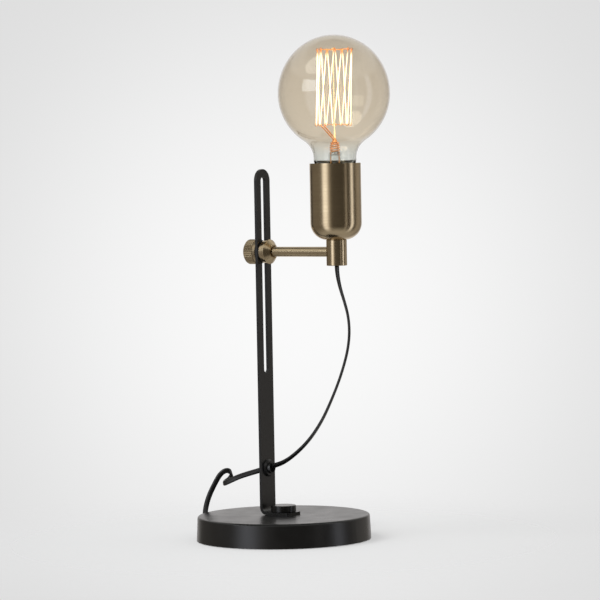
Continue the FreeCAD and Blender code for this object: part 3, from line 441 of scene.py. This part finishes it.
def brass_material(name, stretch, roughness, colours, strength=0.06, lined=0.5):
    """Antique brass: brush lines drawn out along the turning, darker tarnish clouds, satin gloss."""
    material, tree, shader = new_material(name, Metallic=1.0)
    lines = place_group(tree, GROUPS["brush"], Stretch=stretch, Clouds=38.0)
    light, dark = colours
    blend = add(tree, "Mix", {2: lines.outputs["Tone"], 3: lines.outputs["Height"]}, {0: lined}, data_type="FLOAT")
    tone_mix(tree, shader, blend.outputs[0], dark, light, 0.28, 0.66)
    rough_mix(tree, shader, blend.outputs[0], roughness + 0.03, roughness - 0.02)
    bump(tree, shader, lines.outputs["Height"], strength, 0.00003)
    return material


def plain_material(name, dark, light, roughness, metallic=0.0, grain=1500.0, relief=0.2, **values):
    """A moulded, cast or plated finish: grain for the bump and clouds for the tone."""
    material, tree, shader = new_material(name, Metallic=metallic, **values)
    fine = place_group(tree, GROUPS["grain"], Scale=grain)
    tone_mix(tree, shader, fine.outputs["Tone"], dark, light)
    rough_mix(tree, shader, fine.outputs["Tone"], roughness - 0.05, roughness + 0.05)
    bump(tree, shader, fine.outputs["Height"], relief, 0.00005)
    return material


def globe_material(colours):
    """Tinted blown glass: amber in the globe, fading to clear glass down the neck, with faint cloudiness."""
    material, tree, shader = new_material(
        "Amber glass", Roughness=0.0, IOR=1.47, Transmission_Weight=1.0)
    place = add(tree, "TexCoord")
    height = add(tree, "SeparateXYZ", {0: place.outputs["Object"]})
    fade = smooth_range(tree, height.outputs["Z"], *TINT_FADE)
    cloud = add(tree, "TexNoise", {"Vector": place.outputs["Object"]}, Scale=22.0, Detail=2.0)
    uneven = add(tree, "MapRange", {"Value": cloud.outputs["Fac"]}, From_Min=0.3, From_Max=0.7, To_Min=0.93)
    mask = add(tree, "Math", {0: fade.outputs[0], 1: uneven.outputs[0]}, operation="MULTIPLY")
    tone_mix(tree, shader, mask.outputs[0], colours.clear, colours.amber, 0.0, 1.0)
    return material


def glow_material(name, colour, strength):
    """A lit wire: the glow is even along its middle and redder by its hooks."""
    material, tree, shader = new_material(name, Base_Color=(0.3, 0.16, 0.06), Roughness=0.6)
    place = add(tree, "TexCoord")
    height = add(tree, "SeparateXYZ", {0: place.outputs["Object"]})
    spread = add(tree, "MapRange", {"Value": height.outputs["Z"]}, From_Min=GLOW_HEIGHTS[0], From_Max=GLOW_HEIGHTS[1])
    ember = (0.42, 0.12, 0.035)
    ramp = tone_mix(tree, shader, spread.outputs[0], ember, ember, 0.0, 1.0, "Emission Color")
    for position in (0.06, 0.94):
        ramp.color_ramp.elements.new(position).color = (*colour, 1.0)
    shader.inputs["Emission Strength"].default_value = strength
    return material


GROUPS = {}
FINISHES = {}


def make_finishes(colours):
    """Builds the shared groups and every finish of the lamp."""
    GROUPS.update(grain=grain_group(), brush=brush_group(), dust=dust_group())
    brass = (tuple(colours.brass), tuple(colours.brass_dark))
    # The knob's brass is the same brass made a quarter darker: painted shade on the knurled knob.
    knurled_painted_shade = tuple(shade(tone, 0.75) for tone in brass)
    up, along = (25.0, 25.0, 2400.0), (2400.0, 25.0, 25.0)  # brush lines a metre, along x, y and z
    FINISHES.update({
        "coat": coat_material("Satin powder coat", tuple(colours.coat), 0.30, 1500.0),
        "black_gloss": coat_material("Black enamel", shade(colours.coat, 0.9), 0.26, 900.0),
        "brass_up": brass_material("Antique brass, turned upright", up, 0.20, brass, 0.03),
        "brass_along": brass_material("Antique brass, turned along the arm", along, 0.22, brass, 0.003, 0.0),
        "brass_knurled_painted_shade": brass_material("Antique brass, knurled, painted shade", along, 0.24, knurled_painted_shade, 0.003, 0.0),
        "bright_brass": plain_material(
            "Plain brass", (0.60, 0.42, 0.18), (0.72, 0.53, 0.26), 0.3, 1.0, 700.0),
        "zinc": plain_material("Zinc plate", (0.48, 0.48, 0.46), (0.62, 0.62, 0.60), 0.38, 1.0, 900.0),
        "iron": plain_material("Cast iron", (0.05, 0.05, 0.05), (0.11, 0.11, 0.11), 0.7, 0.6, 500.0, 0.6),
        "foam": plain_material("Foam pad", (0.014, 0.014, 0.014), (0.03, 0.03, 0.03), 0.92, 0.0, 1800.0, 0.8),
        "rubber": plain_material("Black rubber", (0.007, 0.007, 0.007), (0.012, 0.012, 0.012), 0.32, 0.0, 1500.0),
        "sheath": plain_material(
            "Flex sheath", shade(colours.sheath, 0.8), shade(colours.sheath, 1.3), 0.27, 0.0, 1600.0, 0.1, IOR=1.6),
        "moulding": plain_material(
            "Black moulding", (0.012, 0.012, 0.012), (0.022, 0.022, 0.022), 0.45, 0.0, 2200.0, 0.35),
        "nickel": plain_material("Nickel plate", (0.58, 0.56, 0.52), (0.68, 0.66, 0.62), 0.2, 1.0, 500.0, 0.1),
        "thermoset": plain_material(
            "Lampholder moulding", (0.016, 0.012, 0.010), (0.03, 0.024, 0.02), 0.35, 0.0, 900.0),
        "core": plain_material("Core insulation", (0.16, 0.05, 0.02), (0.22, 0.08, 0.03), 0.4, 0.0, 900.0),
        "solder": plain_material("Solder", (0.5, 0.5, 0.52), (0.66, 0.66, 0.68), 0.35, 1.0, 900.0, 0.4),
        "black_glass": plain_material("Black glass", (0.006, 0.006, 0.008), (0.012, 0.012, 0.014), 0.12, 0.0, 500.0),
        # The copper wires carry a painted glow: an orange emission that stands in for the filament's light falling on
        # them.
        "copper_painted_glow": plain_material("Copper wire, painted glow", (0.66, 0.24, 0.07), (0.92, 0.46, 0.18), 0.26, 0.35, 1200.0, 0.3,
                                 Emission_Color=(1.0, 0.42, 0.12), Emission_Strength=0.28),
        "amber": globe_material(colours),
        "clear": new_material("Clear glass", Base_Color=(0.93, 0.95, 0.95), Roughness=0.02, IOR=1.5,
                              Transmission_Weight=1.0)[0],
        # The stem's glass rod carries a painted glow: a warm emission that stands in for the filament's light in the
        # glass.
        "rod_painted_glow": new_material("Glass rod, painted glow", Base_Color=(1.0, 0.95, 0.80), Roughness=0.05, IOR=1.5,
                                Transmission_Weight=1.0, Emission_Color=(1.0, 0.80, 0.42),
                                Emission_Strength=0.32)[0],
        "glow": glow_material("Lit filament", tuple(colours.glow), 3.2),
    })


def finish(material, *names):
    """Gives CAD nodes a finish."""
    for name in names:
        materials = NODES[name].data.materials
        materials.clear()
        materials.append(FINISHES[material])


def dress(piece, material):
    """Gives a new piece its finish."""
    piece.data.materials.clear()
    piece.data.materials.append(FINISHES[material])


# ---------------------------------------------------------------- pieces

def leant(points, sizes):
    """The cage stands a little askew: each point is moved right by 0.2 mm, and by 1 mm more over half its height."""
    low, high = sizes.cage_heights
    part = (points[:, 2] - (low + high) / 2) / ((high - low) / 2)
    shift = 0.0002 + 0.0010 * np.clip(part, -1.2, 1.2)
    return points + np.outer(shift, RIGHT)


def globe_profile(sizes, inset):
    """The glass's outline as (radius, height): foot, shoulder, neck, flare arc, globe arc and elliptical crown."""
    low, high = GLASS_BOX
    globe = (high[0] - low[0]) / 2 - inset
    crown = sizes.crown_height - inset
    middle = high[2] - sizes.crown_height
    neck = sizes.neck_radius - inset
    foot = 0.0127 - inset
    meet = math.radians(56.5)
    join = (globe * math.cos(meet), middle - globe * math.sin(meet))
    flare = (join[0] - neck) / (1 - math.cos(meet))
    neck_top = join[1] - flare * math.sin(meet)
    turn = np.linspace(0, meet, 20)
    lower = np.linspace(-meet, 0, 40)[1:]
    upper = np.linspace(0, math.pi / 2, 44)[1:]
    step = np.linspace(0, math.pi / 2, 10)
    shoulder_low, shoulder_high = 0.32105 + inset, 0.327 + inset
    return np.concatenate([
        [(foot, low[2])],
        np.column_stack([foot + (neck - foot) * np.sin(step),
                         shoulder_low + (shoulder_high - shoulder_low) * (1 - np.cos(step))]),
        np.column_stack([neck + flare * (1 - np.cos(turn)), neck_top + flare * np.sin(turn)]),
        np.column_stack([globe * np.cos(lower), middle + globe * np.sin(lower)]),
        np.column_stack([globe * np.cos(upper), middle + crown * np.sin(upper)]),
    ])


class LAMP_OT_base(bpy.types.Operator):
    """Finish the base, the upright bar and what holds them"""

    bl_idname = "lamp.base"
    bl_label = "Base and upright"

    def execute(self, context):
        finish("coat", "base_cover", "upright_bar")
        finish("black_gloss", "foot_cap_nut", "front_washer", "rear_washer")
        finish("iron", "base_weight")
        finish("foam", "base_pad")
        finish("zinc", "base_screw", "base_screw_washer")
        finish("rubber", "cord_bush")
        return {"FINISHED"}


class LAMP_OT_arm(bpy.types.Operator):
    """Finish the clamp, its knob, the arm and the post in antique brass"""

    bl_idname = "lamp.arm"
    bl_label = "Clamp and arm"

    def execute(self, context):
        finish("brass_along", "clamp_collar", "clamp_stud", "arm_rod")
        # The knob takes the darker brass with its painted shade.
        finish("brass_knurled_painted_shade", "clamp_knob")
        finish("brass_up", "arm_post", "lamp_cup")
        finish("rubber", "post_bush")
        finish("zinc", "nipple", "nipple_nut")
        return {"FINISHED"}


class LAMP_OT_holder(bpy.types.Operator):
    """Finish the lampholder inside the cup"""

    bl_idname = "lamp.holder"
    bl_label = "Lampholder"

    def execute(self, context):
        finish("thermoset", "holder_body")
        finish("bright_brass", "holder_screw_shell", "centre_contact", "holder_terminals", "terminal_screws")
        finish("core", "feed_wires")
        return {"FINISHED"}


class LAMP_OT_bulb(bpy.types.Operator):
    """Make the bulb's glass and finish its cap and mount"""

    bl_idname = "lamp.bulb"
    bl_label = "Bulb"

    def execute(self, context):
        sizes = context.scene.lamp_sizes
        outer = globe_profile(sizes, 0.0)
        inner = globe_profile(sizes, sizes.glass_thickness)[::-1]
        profile = np.concatenate([outer, inner, outer[:1]])
        glass = turned("bulb_globe", profile, (POST_X, 0, 0), (0, 0, 1), "bulb", 144)
        dress(glass, "amber")
        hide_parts("bulb_glass")
        finish("bright_brass", "bulb_cap")
        finish("black_glass", "cap_insulator")
        finish("solder", "cap_tip")
        self.stem(sizes)
        return {"FINISHED"}

    def stem(self, sizes):
        """The glass stem: a thin flared tube, a flat press on it, and a rod with a bead at each ring of hooks."""
        top, wall, tube = sizes.stem_top, 0.0006, 0.0054
        flare = np.linspace(0, math.pi / 2, 14)
        outer = np.column_stack([tube + 0.0065 * (1 - np.sin(flare)), 0.3165 + 0.0075 * (1 - np.cos(flare))])
        outer = np.concatenate([outer, [(tube, top - 0.002), (tube * 0.86, top - 0.0006), (tube * 0.55, top)]])
        inner = outer[::-1] - (wall, 0)
        wall_profile = np.concatenate([outer, inner, outer[:1]])
        tube_wall = turned("stem_tube", wall_profile, (POST_X, 0, 0), (0, 0, 1), "bulb", 72)
        rise = np.linspace(0, 1, 16)
        blade = np.column_stack([np.full(16, POST_X), np.zeros(16), top - 0.004 + 0.0125 * rise])
        widths = np.interp(rise, (0, 0.2, 0.8, 1), (0.0042, 0.0036, 0.0031, 0.0022))
        depths = np.interp(rise, (0, 0.25, 0.85, 1), (0.0040, 0.0019, 0.0017, 0.0012))
        angle = np.linspace(0, 2 * math.pi, 28, endpoint=False)
        rings = blade[:, None] + np.stack([
            widths[:, None] * np.cos(angle), depths[:, None] * np.sin(angle), 0 * np.outer(rise, angle)], axis=2)
        foot, tip = (np.repeat(blade[None, end:end + 1 or None], 28, axis=1) for end in (0, -1))
        rings = np.concatenate([foot, rings, tip])
        press = put_mesh("stem_press", rings.reshape(-1, 3), grid_faces(18, 28), "bulb")
        low, high = sizes.cage_heights
        radius, height = [0.0, 0.0010], [top + 0.0086, top + 0.0086]
        for middle in (low, high):
            bead = np.linspace(-0.44 * math.pi, 0.44 * math.pi if middle == low else 0.5 * math.pi, 12)
            radius += list(0.0019 * np.cos(bead))
            height += list(middle + 0.0015 * np.sin(bead))
        rod = turned("stem_rod", np.column_stack([radius, height]), (POST_X, 0, 0), (0, 0, 1), "bulb", 28)
        for piece in (tube_wall, press):
            dress(piece, "clear")
        # The rod carries a painted glow.
        dress(rod, "rod_painted_glow")
        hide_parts("bulb_mount")


class LAMP_OT_filament(bpy.types.Operator):
    """Make the cage of glowing strands, its hooks and the copper lead wires"""

    bl_idname = "lamp.filament"
    bl_label = "Filament"

    def execute(self, context):
        sizes = context.scene.lamp_sizes
        hooks, (low, high) = sizes.cage_hooks, sizes.cage_heights
        step = np.arange(2 * hooks)
        angle = sizes.cage_turn + step * math.pi / hooks
        height = np.where(step % 2, high, low)
        self.strands(sizes, angle, height)
        self.hooks(sizes, angle, height)
        self.leads(sizes)
        return {"FINISHED"}

    def strands(self, sizes, angle, height):
        """One wire zigzagging between the rings; at each hook its line turns round a small half circle."""
        turn, reach = 0.0006, sizes.cage_radius
        side = np.where(height > height.mean(), 1.0, -1.0)[:, None]
        bend = np.linspace(-math.pi / 2, math.pi / 2, 7)[None, :]
        around = angle[:, None] + turn / reach * np.sin(bend)
        level = height[:, None] + side * turn * (np.cos(bend) - 1)
        points = np.stack([POST_X + reach * np.cos(around), reach * np.sin(around), level], axis=2).reshape(-1, 3)
        points = points[3:-3]
        span = np.r_[0, np.cumsum(np.linalg.norm(np.diff(points, axis=0), axis=1))]
        fine = np.unique(np.r_[span, np.arange(0, span[-1], 0.004)])
        path = leant(np.column_stack([np.interp(fine, span, points[:, k]) for k in range(3)]), sizes)
        hint = path - (POST_X, 0, 0)
        hint[:, 2] = 0
        wire = put_mesh("filament_wire", *swept(path, round_outline(sizes.filament_radius, 10), hint), "bulb")
        dress(wire, "glow")
        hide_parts("filament")

    def hooks(self, sizes, angle, height):
        """Radial wires from the beads round the strands: each a straight line, then three quarters of a circle."""
        parts = []
        ring = np.linspace(-0.5 * math.pi, 1.0 * math.pi, 12)
        for a, z in zip(angle, height):
            away = np.array((math.cos(a), math.sin(a), 0.0))
            lift = np.array((0.0, 0.0, 1.0 if z > height.mean() else -1.0))
            centre = np.array((POST_X, 0, z)) + away * sizes.cage_radius
            start = np.array((POST_X, 0, z)) + away * 0.0016
            loop = centre + 0.0011 * (np.sin(ring)[:, None] * away + np.cos(ring)[:, None] * lift)
            path = leant(np.concatenate([np.linspace(start, centre - away * 0.0016, 6), loop]), sizes)
            parts.append(swept(path, round_outline(0.00026, 6), np.cross(away, lift) + path * 0))
        wires = put_parts("hook_wires", parts, "bulb")
        # The hook wires carry the copper finish's painted glow.
        dress(wires, "copper_painted_glow")
        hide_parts("support_wires")

    def leads(self, sizes):
        """Two lead wires: straight inside the stem, twisted over the press, then slanting to the lower ring."""
        right, away = np.array(RIGHT), -np.array(TOWARD)
        parts = []
        rise = np.linspace(0, 1, 60)
        for side in (0, 1):
            phase = math.pi * side
            swing = phase + 2 * math.pi * 2.6 * rise
            width = np.interp(rise, (0, 0.25, 0.8, 1), (0.0036, 0.0042, 0.0034, 0.0012))
            twist = (np.array((POST_X, 0, 0.3335)) + np.cos(swing)[:, None] * width[:, None] * right
                     + np.sin(swing)[:, None] * width[:, None] * away * 0.75 + rise[:, None] * (0, 0, 0.0105))
            foot = twist[0] + np.linspace((0, 0, -0.0165), (0, 0, -0.001), 8)
            tip = np.array((POST_X, 0, sizes.cage_heights[0] - 0.0008)) + right * (-0.0112 + 0.0024 * side)
            slant = np.linspace(twist[-1], tip, 10)[1:]
            path = np.concatenate([foot, twist, slant])
            parts.append(swept(path, round_outline(0.0005, 8), away + path * 0 + (0.02, 0.03, 0.0)))
        wires = put_parts("lead_pair", parts, "bulb")
        # The lead wires carry the copper finish's painted glow.
        dress(wires, "copper_painted_glow")
        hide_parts("lead_wires")


class LAMP_OT_flex(bpy.types.Operator):
    """Make the flex: it hangs from the post, runs through the bush and lies coiled behind the base"""

    bl_idname = "lamp.flex"
    bl_label = "Flex"

    def controls(self, sizes):
        """The route's control points; each layer of the coil is a spiral whose radius changes by the pitch a turn."""
        per_turn = 16
        low, high = sizes.coil_layers[0], sizes.coil_layers[1]
        inner = COIL_RADIUS - sizes.coil_pitch * TURNS_IN
        winding_in = np.arange(round(per_turn * TURNS_IN) + 1) / per_turn
        winding_out = np.arange(1, round(per_turn * TURNS_OUT) + 1) / per_turn
        climb = np.arange(1, per_turn // 2) / (per_turn / 2)
        turn = np.concatenate([winding_in, TURNS_IN + climb / 2, TURNS_IN + 0.5 + np.r_[0, winding_out]])
        radius = np.concatenate([
            COIL_RADIUS - sizes.coil_pitch * winding_in, np.full(len(climb), inner),
            inner + sizes.coil_pitch * np.r_[0, winding_out]])
        height = np.concatenate([
            np.full(len(winding_in), low), low + (high - low) * climb, np.full(len(winding_out) + 1, high)])
        angle = math.pi - 2 * math.pi * turn
        coil = np.column_stack([
            COIL_CENTRE[0] + radius * np.cos(angle), COIL_CENTRE[1] + radius * np.sin(angle), height])
        return np.concatenate([np.array(HANG_ROUTE, float), laid(np.concatenate([CURL_ROUTE, coil, TAIL_ROUTE]))])

    def width_hints(self, path):
        """Which way the flex's flat side turns: given at places along it, and level wherever it lies on the floor."""
        along = np.r_[0, np.cumsum(np.linalg.norm(np.diff(path, axis=0), axis=1))]
        places = np.array([0.0, 0.025, 0.05, 0.10, 0.13, 0.19, 0.215, 0.24, 0.275, 0.30, 0.325, 0.35, 0.40])
        ways = np.array([
            (0.98, -0.20, 0.0), (0.75, -0.66, 0.0), (0.574, -0.819, 0.0), (0.574, -0.819, 0.05),
            (0.45, -0.85, 0.25), (0.3, -0.8, 0.5), (0.1, -0.35, 0.9), (0.0, -0.1, 1.0), (0.0, -0.1, 1.0),
            (-0.5, -0.6, 0.6), (-0.8, -0.6, 0.1), (-0.8, -0.6, 0.0), (-0.8, -0.6, 0.0)])
        hint = np.column_stack([np.interp(along, places, ways[:, k]) for k in range(3)])
        tangent = np.gradient(path, axis=0)
        level = np.cross(tangent, (0.0, 0.0, 1.0))
        level /= np.maximum(np.linalg.norm(level, axis=1), 1e-9)[:, None]
        late = np.clip((along - 0.36) / 0.06, 0, 1)[:, None]
        level *= np.sign((level * hint).sum(axis=1)[np.searchsorted(along, 0.38)])
        return hint * (1 - late) + level * late

    def band(self, sizes):
        """The tie: a thin strip whose middle line is a rounded square standing across the coil's turns."""
        inner = COIL_RADIUS - sizes.coil_pitch * TURNS_IN - sizes.flex_width / 2 - 0.0004
        outer = COIL_RADIUS + sizes.flex_width / 2 + 0.0006
        low, high = 0.0006, sizes.coil_layers[1] + 0.0016
        angle = np.linspace(0, 2 * math.pi, 48, endpoint=False)
        across = np.sign(np.cos(angle)) * np.abs(np.cos(angle)) ** 0.16
        up = np.sign(np.sin(angle)) * np.abs(np.sin(angle)) ** 0.30
        middle = np.column_stack([
            np.full(48, COIL_CENTRE[0]), COIL_CENTRE[1] - (outer + inner) / 2 + (outer - inner) / 2 * across,
            (low + high) / 2 + (high - low) / 2 * up])
        out = np.column_stack([0 * angle, np.cos(angle), np.sin(angle)])
        half, thick = sizes.tie_width / 2, 0.0006
        corners = [(-half, 0), (half, 0), (half, thick), (-half, thick)]
        rings = np.stack([middle + (x, 0, 0) + y * out for x, y in corners], axis=1)
        band = put_mesh("coil_band", laid(rings.reshape(-1, 3)), grid_faces(48, 4, close_rows=True), "base")
        band.data.polygons.foreach_set("use_smooth", np.zeros(len(band.data.polygons), bool))
        dress(band, "rubber")
        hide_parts("coil_tie")
        return band

    def execute(self, context):
        sizes = context.scene.lamp_sizes
        path = spline_points("flex_route", self.controls(sizes), 5)
        hint = self.width_hints(path)
        part = int(np.argmax(path[:, 2] < PARTING_Z))
        outline = flat_outline(sizes.flex_width, sizes.flex_thickness)
        upper = put_mesh("flex_upper", *swept(path[:part + 1], outline, hint[:part + 1]))
        lower = put_mesh("flex_lower", *swept(path[part:], outline, hint[part:]))
        for piece in (upper, lower):
            dress(piece, "sheath")
        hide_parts("flex_hang_top")
        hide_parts("flex_hang_low", "flex_rear", "flex_coil", "flex_tail")
        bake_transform(upper)
        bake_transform(lower)
        plug = [NODES[n] for n in ("plug_body", "plug_pins", "pin_sleeves", "plug_relief")] + [self.band(sizes)]
        return {"FINISHED"}


class LAMP_OT_plug(bpy.types.Operator):
    """Finish the plug"""

    bl_idname = "lamp.plug"
    bl_label = "Plug and tie"

    def execute(self, context):
        finish("moulding", "plug_body", "plug_relief", "pin_sleeves")
        finish("nickel", "plug_pins")
        return {"FINISHED"}


class LAMP_OT_stage(bpy.types.Operator):
    """Make the floor, the lights, the surroundings and the camera"""

    bl_idname = "lamp.stage"
    bl_label = "Stage"

    def floor(self, colour):
        """A wide round floor that fades into the surroundings away from the lamp, so that no horizon shows."""
        radius = np.array([0.0, 0.5, 1.0, 2.0, 4.0, 9.0])[:, None, None]
        angle = np.linspace(0, 2 * math.pi, 64, endpoint=False)[None, :, None]
        rings = radius * np.concatenate([np.cos(angle), np.sin(angle), 0 * angle], axis=2)
        floor = put_mesh("floor", rings.reshape(-1, 3), grid_faces(6, 64))
        material, tree, shader = new_material("Pale floor", Base_Color=colour, Roughness=0.9)
        shader.inputs["Specular IOR Level"].default_value = 0.0
        floor.data.materials.append(material)
        _, seen = seen_rays(tree)
        place = add(tree, "TexCoord")
        away = add(tree, "VectorMath", {0: place.outputs["Object"]}, operation="LENGTH")
        fade = smooth_range(tree, away.outputs["Value"], 0.09, 0.42, To_Min=0.5)
        share = add(tree, "Math", {0: seen.outputs[0], 1: fade.outputs[0]}, operation="MULTIPLY")
        clear = add(tree, "BsdfTransparent")
        mix = add(tree, "MixShader", {0: share.outputs[0], 1: shader.outputs[0], 2: clear.outputs[0]})
        tree.links.new(mix.outputs[0], tree.nodes["Material Output"].inputs[0])
        floor.visible_glossy = False

    def surroundings(self, world, ahead):
        """Pale behind, darker away from the middle: 0.9586 - 0.2089 q + 0.0494 q², q = 218.7 (1 - cos a).

        Reflections see a dim studio instead, with two upright soft lights and a pale ceiling.
        """
        world.use_nodes = True
        tree = world.node_tree
        place = add(tree, "TexCoord")
        axes = add(tree, "SeparateXYZ", {0: place.outputs["Generated"]})
        turn = add(tree, "Math", {0: axes.outputs["Y"], 1: axes.outputs["X"]}, operation="ARCTAN2")
        wrapped = add(tree, "Math", {0: turn.outputs[0]}, {1: math.radians(55.0 + 180.0)}, operation="ADD")
        whole = add(tree, "Math", {0: wrapped.outputs[0]}, {1: 2 * math.pi}, operation="FLOORED_MODULO")
        part = add(tree, "Math", {0: whole.outputs[0]}, {1: 2 * math.pi}, operation="DIVIDE")
        ramp = add(tree, "ValToRGB", {"Fac": part.outputs[0]})
        bands = ramp.color_ramp
        bands.elements[0].position, bands.elements[1].position = 0.0, 1.0
        for degrees, level in STUDIO_LEVELS:
            position = (degrees + 180) / 360
            if position in (0.0, 1.0):
                stop = bands.elements[0 if position == 0.0 else len(bands.elements) - 1]
            else:
                stop = bands.elements.new(position)
            cool = min(level, 1.5) / 1.5
            stop.color = (level, level * (0.90 + 0.12 * cool), level * (0.76 + 0.34 * cool), 1.0)
        high = smooth_range(tree, axes.outputs["Z"], 0.36, 0.50)
        zenith = smooth_range(tree, axes.outputs["Z"], 0.70, 0.84)
        ceiling = add(tree, "Mix", {"Factor": zenith.outputs[0]}, {6: CEILING, 7: ZENITH}, data_type="RGBA")
        low = smooth_range(tree, axes.outputs["Z"], -0.40, -0.90)
        floor = add(tree, "Mix", {"Factor": low.outputs[0], 6: ramp.outputs[0]}, {7: BELOW}, data_type="RGBA")
        studio = add(tree, "Mix", {"Factor": high.outputs[0], 6: floor.outputs[2], 7: ceiling.outputs[2]},
                     data_type="RGBA")
        ray, seen = seen_rays(tree)
        unseen = add(tree, "Mix", {"Factor": ray.outputs["Is Glossy Ray"], 7: studio.outputs[2]}, {6: EVEN_LIGHT},
                     data_type="RGBA")
        colour = add(tree, "Mix", {"Factor": seen.outputs[0], 6: unseen.outputs[2]}, data_type="RGBA")
        facing = add(tree, "VectorMath", {0: place.outputs["Generated"]}, {1: ahead}, operation="DOT_PRODUCT")
        q = add(tree, "MapRange", {"Value": facing.outputs["Value"]}, From_Min=1.0, From_Max=1.0 - 2.0 / 218.7,
                To_Min=0.0, To_Max=2.0)
        inner = add(tree, "Math", {0: q.outputs[0]}, {1: 0.0494, 2: -0.2089}, operation="MULTIPLY_ADD")
        tone = add(tree, "Math", {0: q.outputs[0], 1: inner.outputs[0]}, {2: 0.9586}, operation="MULTIPLY_ADD")
        tree.links.new(tone.outputs[0], colour.inputs[7])
        background = tree.nodes["Background"]
        tree.links.new(colour.outputs[2], background.inputs["Color"])

    def lights(self, scene):
        """A soft sun from the upper left, a soft box that shows in the glass, and the filament's own light."""
        sun = bpy.data.objects.new("sun", bpy.data.lights.new("sun", "SUN"))
        sun.data.energy = 1.25
        sun.data.angle = math.radians(35)
        sun.visible_glossy = False
        sun.rotation_euler = Vector((-0.35, -0.75, 1.0)).to_track_quat("Z", "Y").to_euler()
        box = bpy.data.objects.new("soft box", bpy.data.lights.new("soft box", "AREA"))
        box.data.shape = "RECTANGLE"
        box.data.size, box.data.size_y = 0.95, 0.56
        box.data.energy = 4.6
        box.data.color = (0.88, 0.95, 1.0)
        away = math.radians(-53)
        toward, side = Vector(TOWARD), Vector(RIGHT)
        globe = Vector((POST_X, 0, 0.38))
        box.location = globe + 1.6 * (
            toward * math.cos(away) + side * math.sin(away) + Vector((0, 0, math.tan(math.radians(14)))))
        box.rotation_euler = (box.location - globe).to_track_quat("Z", "Y").to_euler()
        glow = bpy.data.objects.new("filament light", bpy.data.lights.new("filament light", "POINT"))
        glow.data.energy = 0.25
        glow.data.color = tuple(scene.lamp_colours.glow)
        glow.data.shadow_soft_size = 0.012
        glow.location = (POST_X, 0, sum(scene.lamp_sizes.cage_heights) / 2)
        glow.visible_camera = glow.visible_glossy = glow.visible_transmission = False
        for light in (sun, box, glow):
            scene.collection.objects.link(light)

    def camera(self, scene):
        """The viewer's place, its slight tilt down and its slight roll. Returns the way it looks."""
        back, right, up = Vector(TOWARD), Vector(RIGHT), Vector((0, 0, 1))
        yaw, pitch, roll = math.radians(0.37), math.radians(2.48), math.radians(1.04)
        level = -back * math.cos(yaw) + right * math.sin(yaw)
        side = right * math.cos(yaw) + back * math.sin(yaw)
        ahead = level * math.cos(pitch) - up * math.sin(pitch)
        top = level * math.sin(pitch) + up * math.cos(pitch)
        across = side * math.cos(roll) - top * math.sin(roll)
        upward = side * math.sin(roll) + top * math.cos(roll)
        turn = Matrix((across, upward, -ahead)).transposed().to_4x4()
        camera = bpy.data.objects.new("camera", bpy.data.cameras.new("camera"))
        camera.data.lens = 188.2
        camera.data.sensor_width = 36.0
        camera.data.clip_start, camera.data.clip_end = 0.05, 30.0
        camera.matrix_world = Matrix.Translation((1.5487, -2.2117, 0.3237)) @ turn
        scene.collection.objects.link(camera)
        scene.camera = camera
        return ahead

    def execute(self, context):
        scene = context.scene
        scene.view_settings.view_transform = "Standard"
        self.floor(tuple(scene.lamp_colours.floor))
        ahead = self.camera(scene)
        scene.world = scene.world or bpy.data.worlds.new("surroundings")
        self.surroundings(scene.world, ahead)
        self.lights(scene)
        return {"FINISHED"}


OPERATORS = (
    LAMP_OT_base, LAMP_OT_arm, LAMP_OT_holder, LAMP_OT_bulb, LAMP_OT_filament, LAMP_OT_flex, LAMP_OT_plug,
    LAMP_OT_stage,
)


class LAMP_PT_panel(bpy.types.Panel):
    """The lamp's pieces and colours"""

    bl_idname = "LAMP_PT_panel"
    bl_label = "Table lamp"
    bl_space_type = "VIEW_3D"
    bl_region_type = "UI"
    bl_category = "Table lamp"

    def draw(self, context):
        for settings in (context.scene.lamp_sizes, context.scene.lamp_colours):
            column = self.layout.column(align=True)
            for name in settings.bl_rna.properties.keys():
                if name not in ("rna_type", "name"):
                    column.prop(settings, name)
        for operator in OPERATORS:
            self.layout.operator(operator.bl_idname)


CLASSES = (LampSizes, LampColours, *OPERATORS, LAMP_PT_panel)


def register():
    for each in CLASSES:
        bpy.utils.register_class(each)
    bpy.types.Scene.lamp_sizes = bpy.props.PointerProperty(type=LampSizes)
    bpy.types.Scene.lamp_colours = bpy.props.PointerProperty(type=LampColours)


def unregister():
    del bpy.types.Scene.lamp_sizes
    del bpy.types.Scene.lamp_colours
    for each in reversed(CLASSES):
        bpy.utils.unregister_class(each)


def main():
    """Makes the whole lamp and its stage."""
    register()
    make_finishes(bpy.context.scene.lamp_colours)
    bpy.ops.lamp.base()
    bpy.ops.lamp.arm()
    bpy.ops.lamp.holder()
    bpy.ops.lamp.bulb()
    bpy.ops.lamp.filament()
    bpy.ops.lamp.flex()
    bpy.ops.lamp.plug()
    bpy.ops.lamp.stage()


if __name__ == "__main__":
    main()
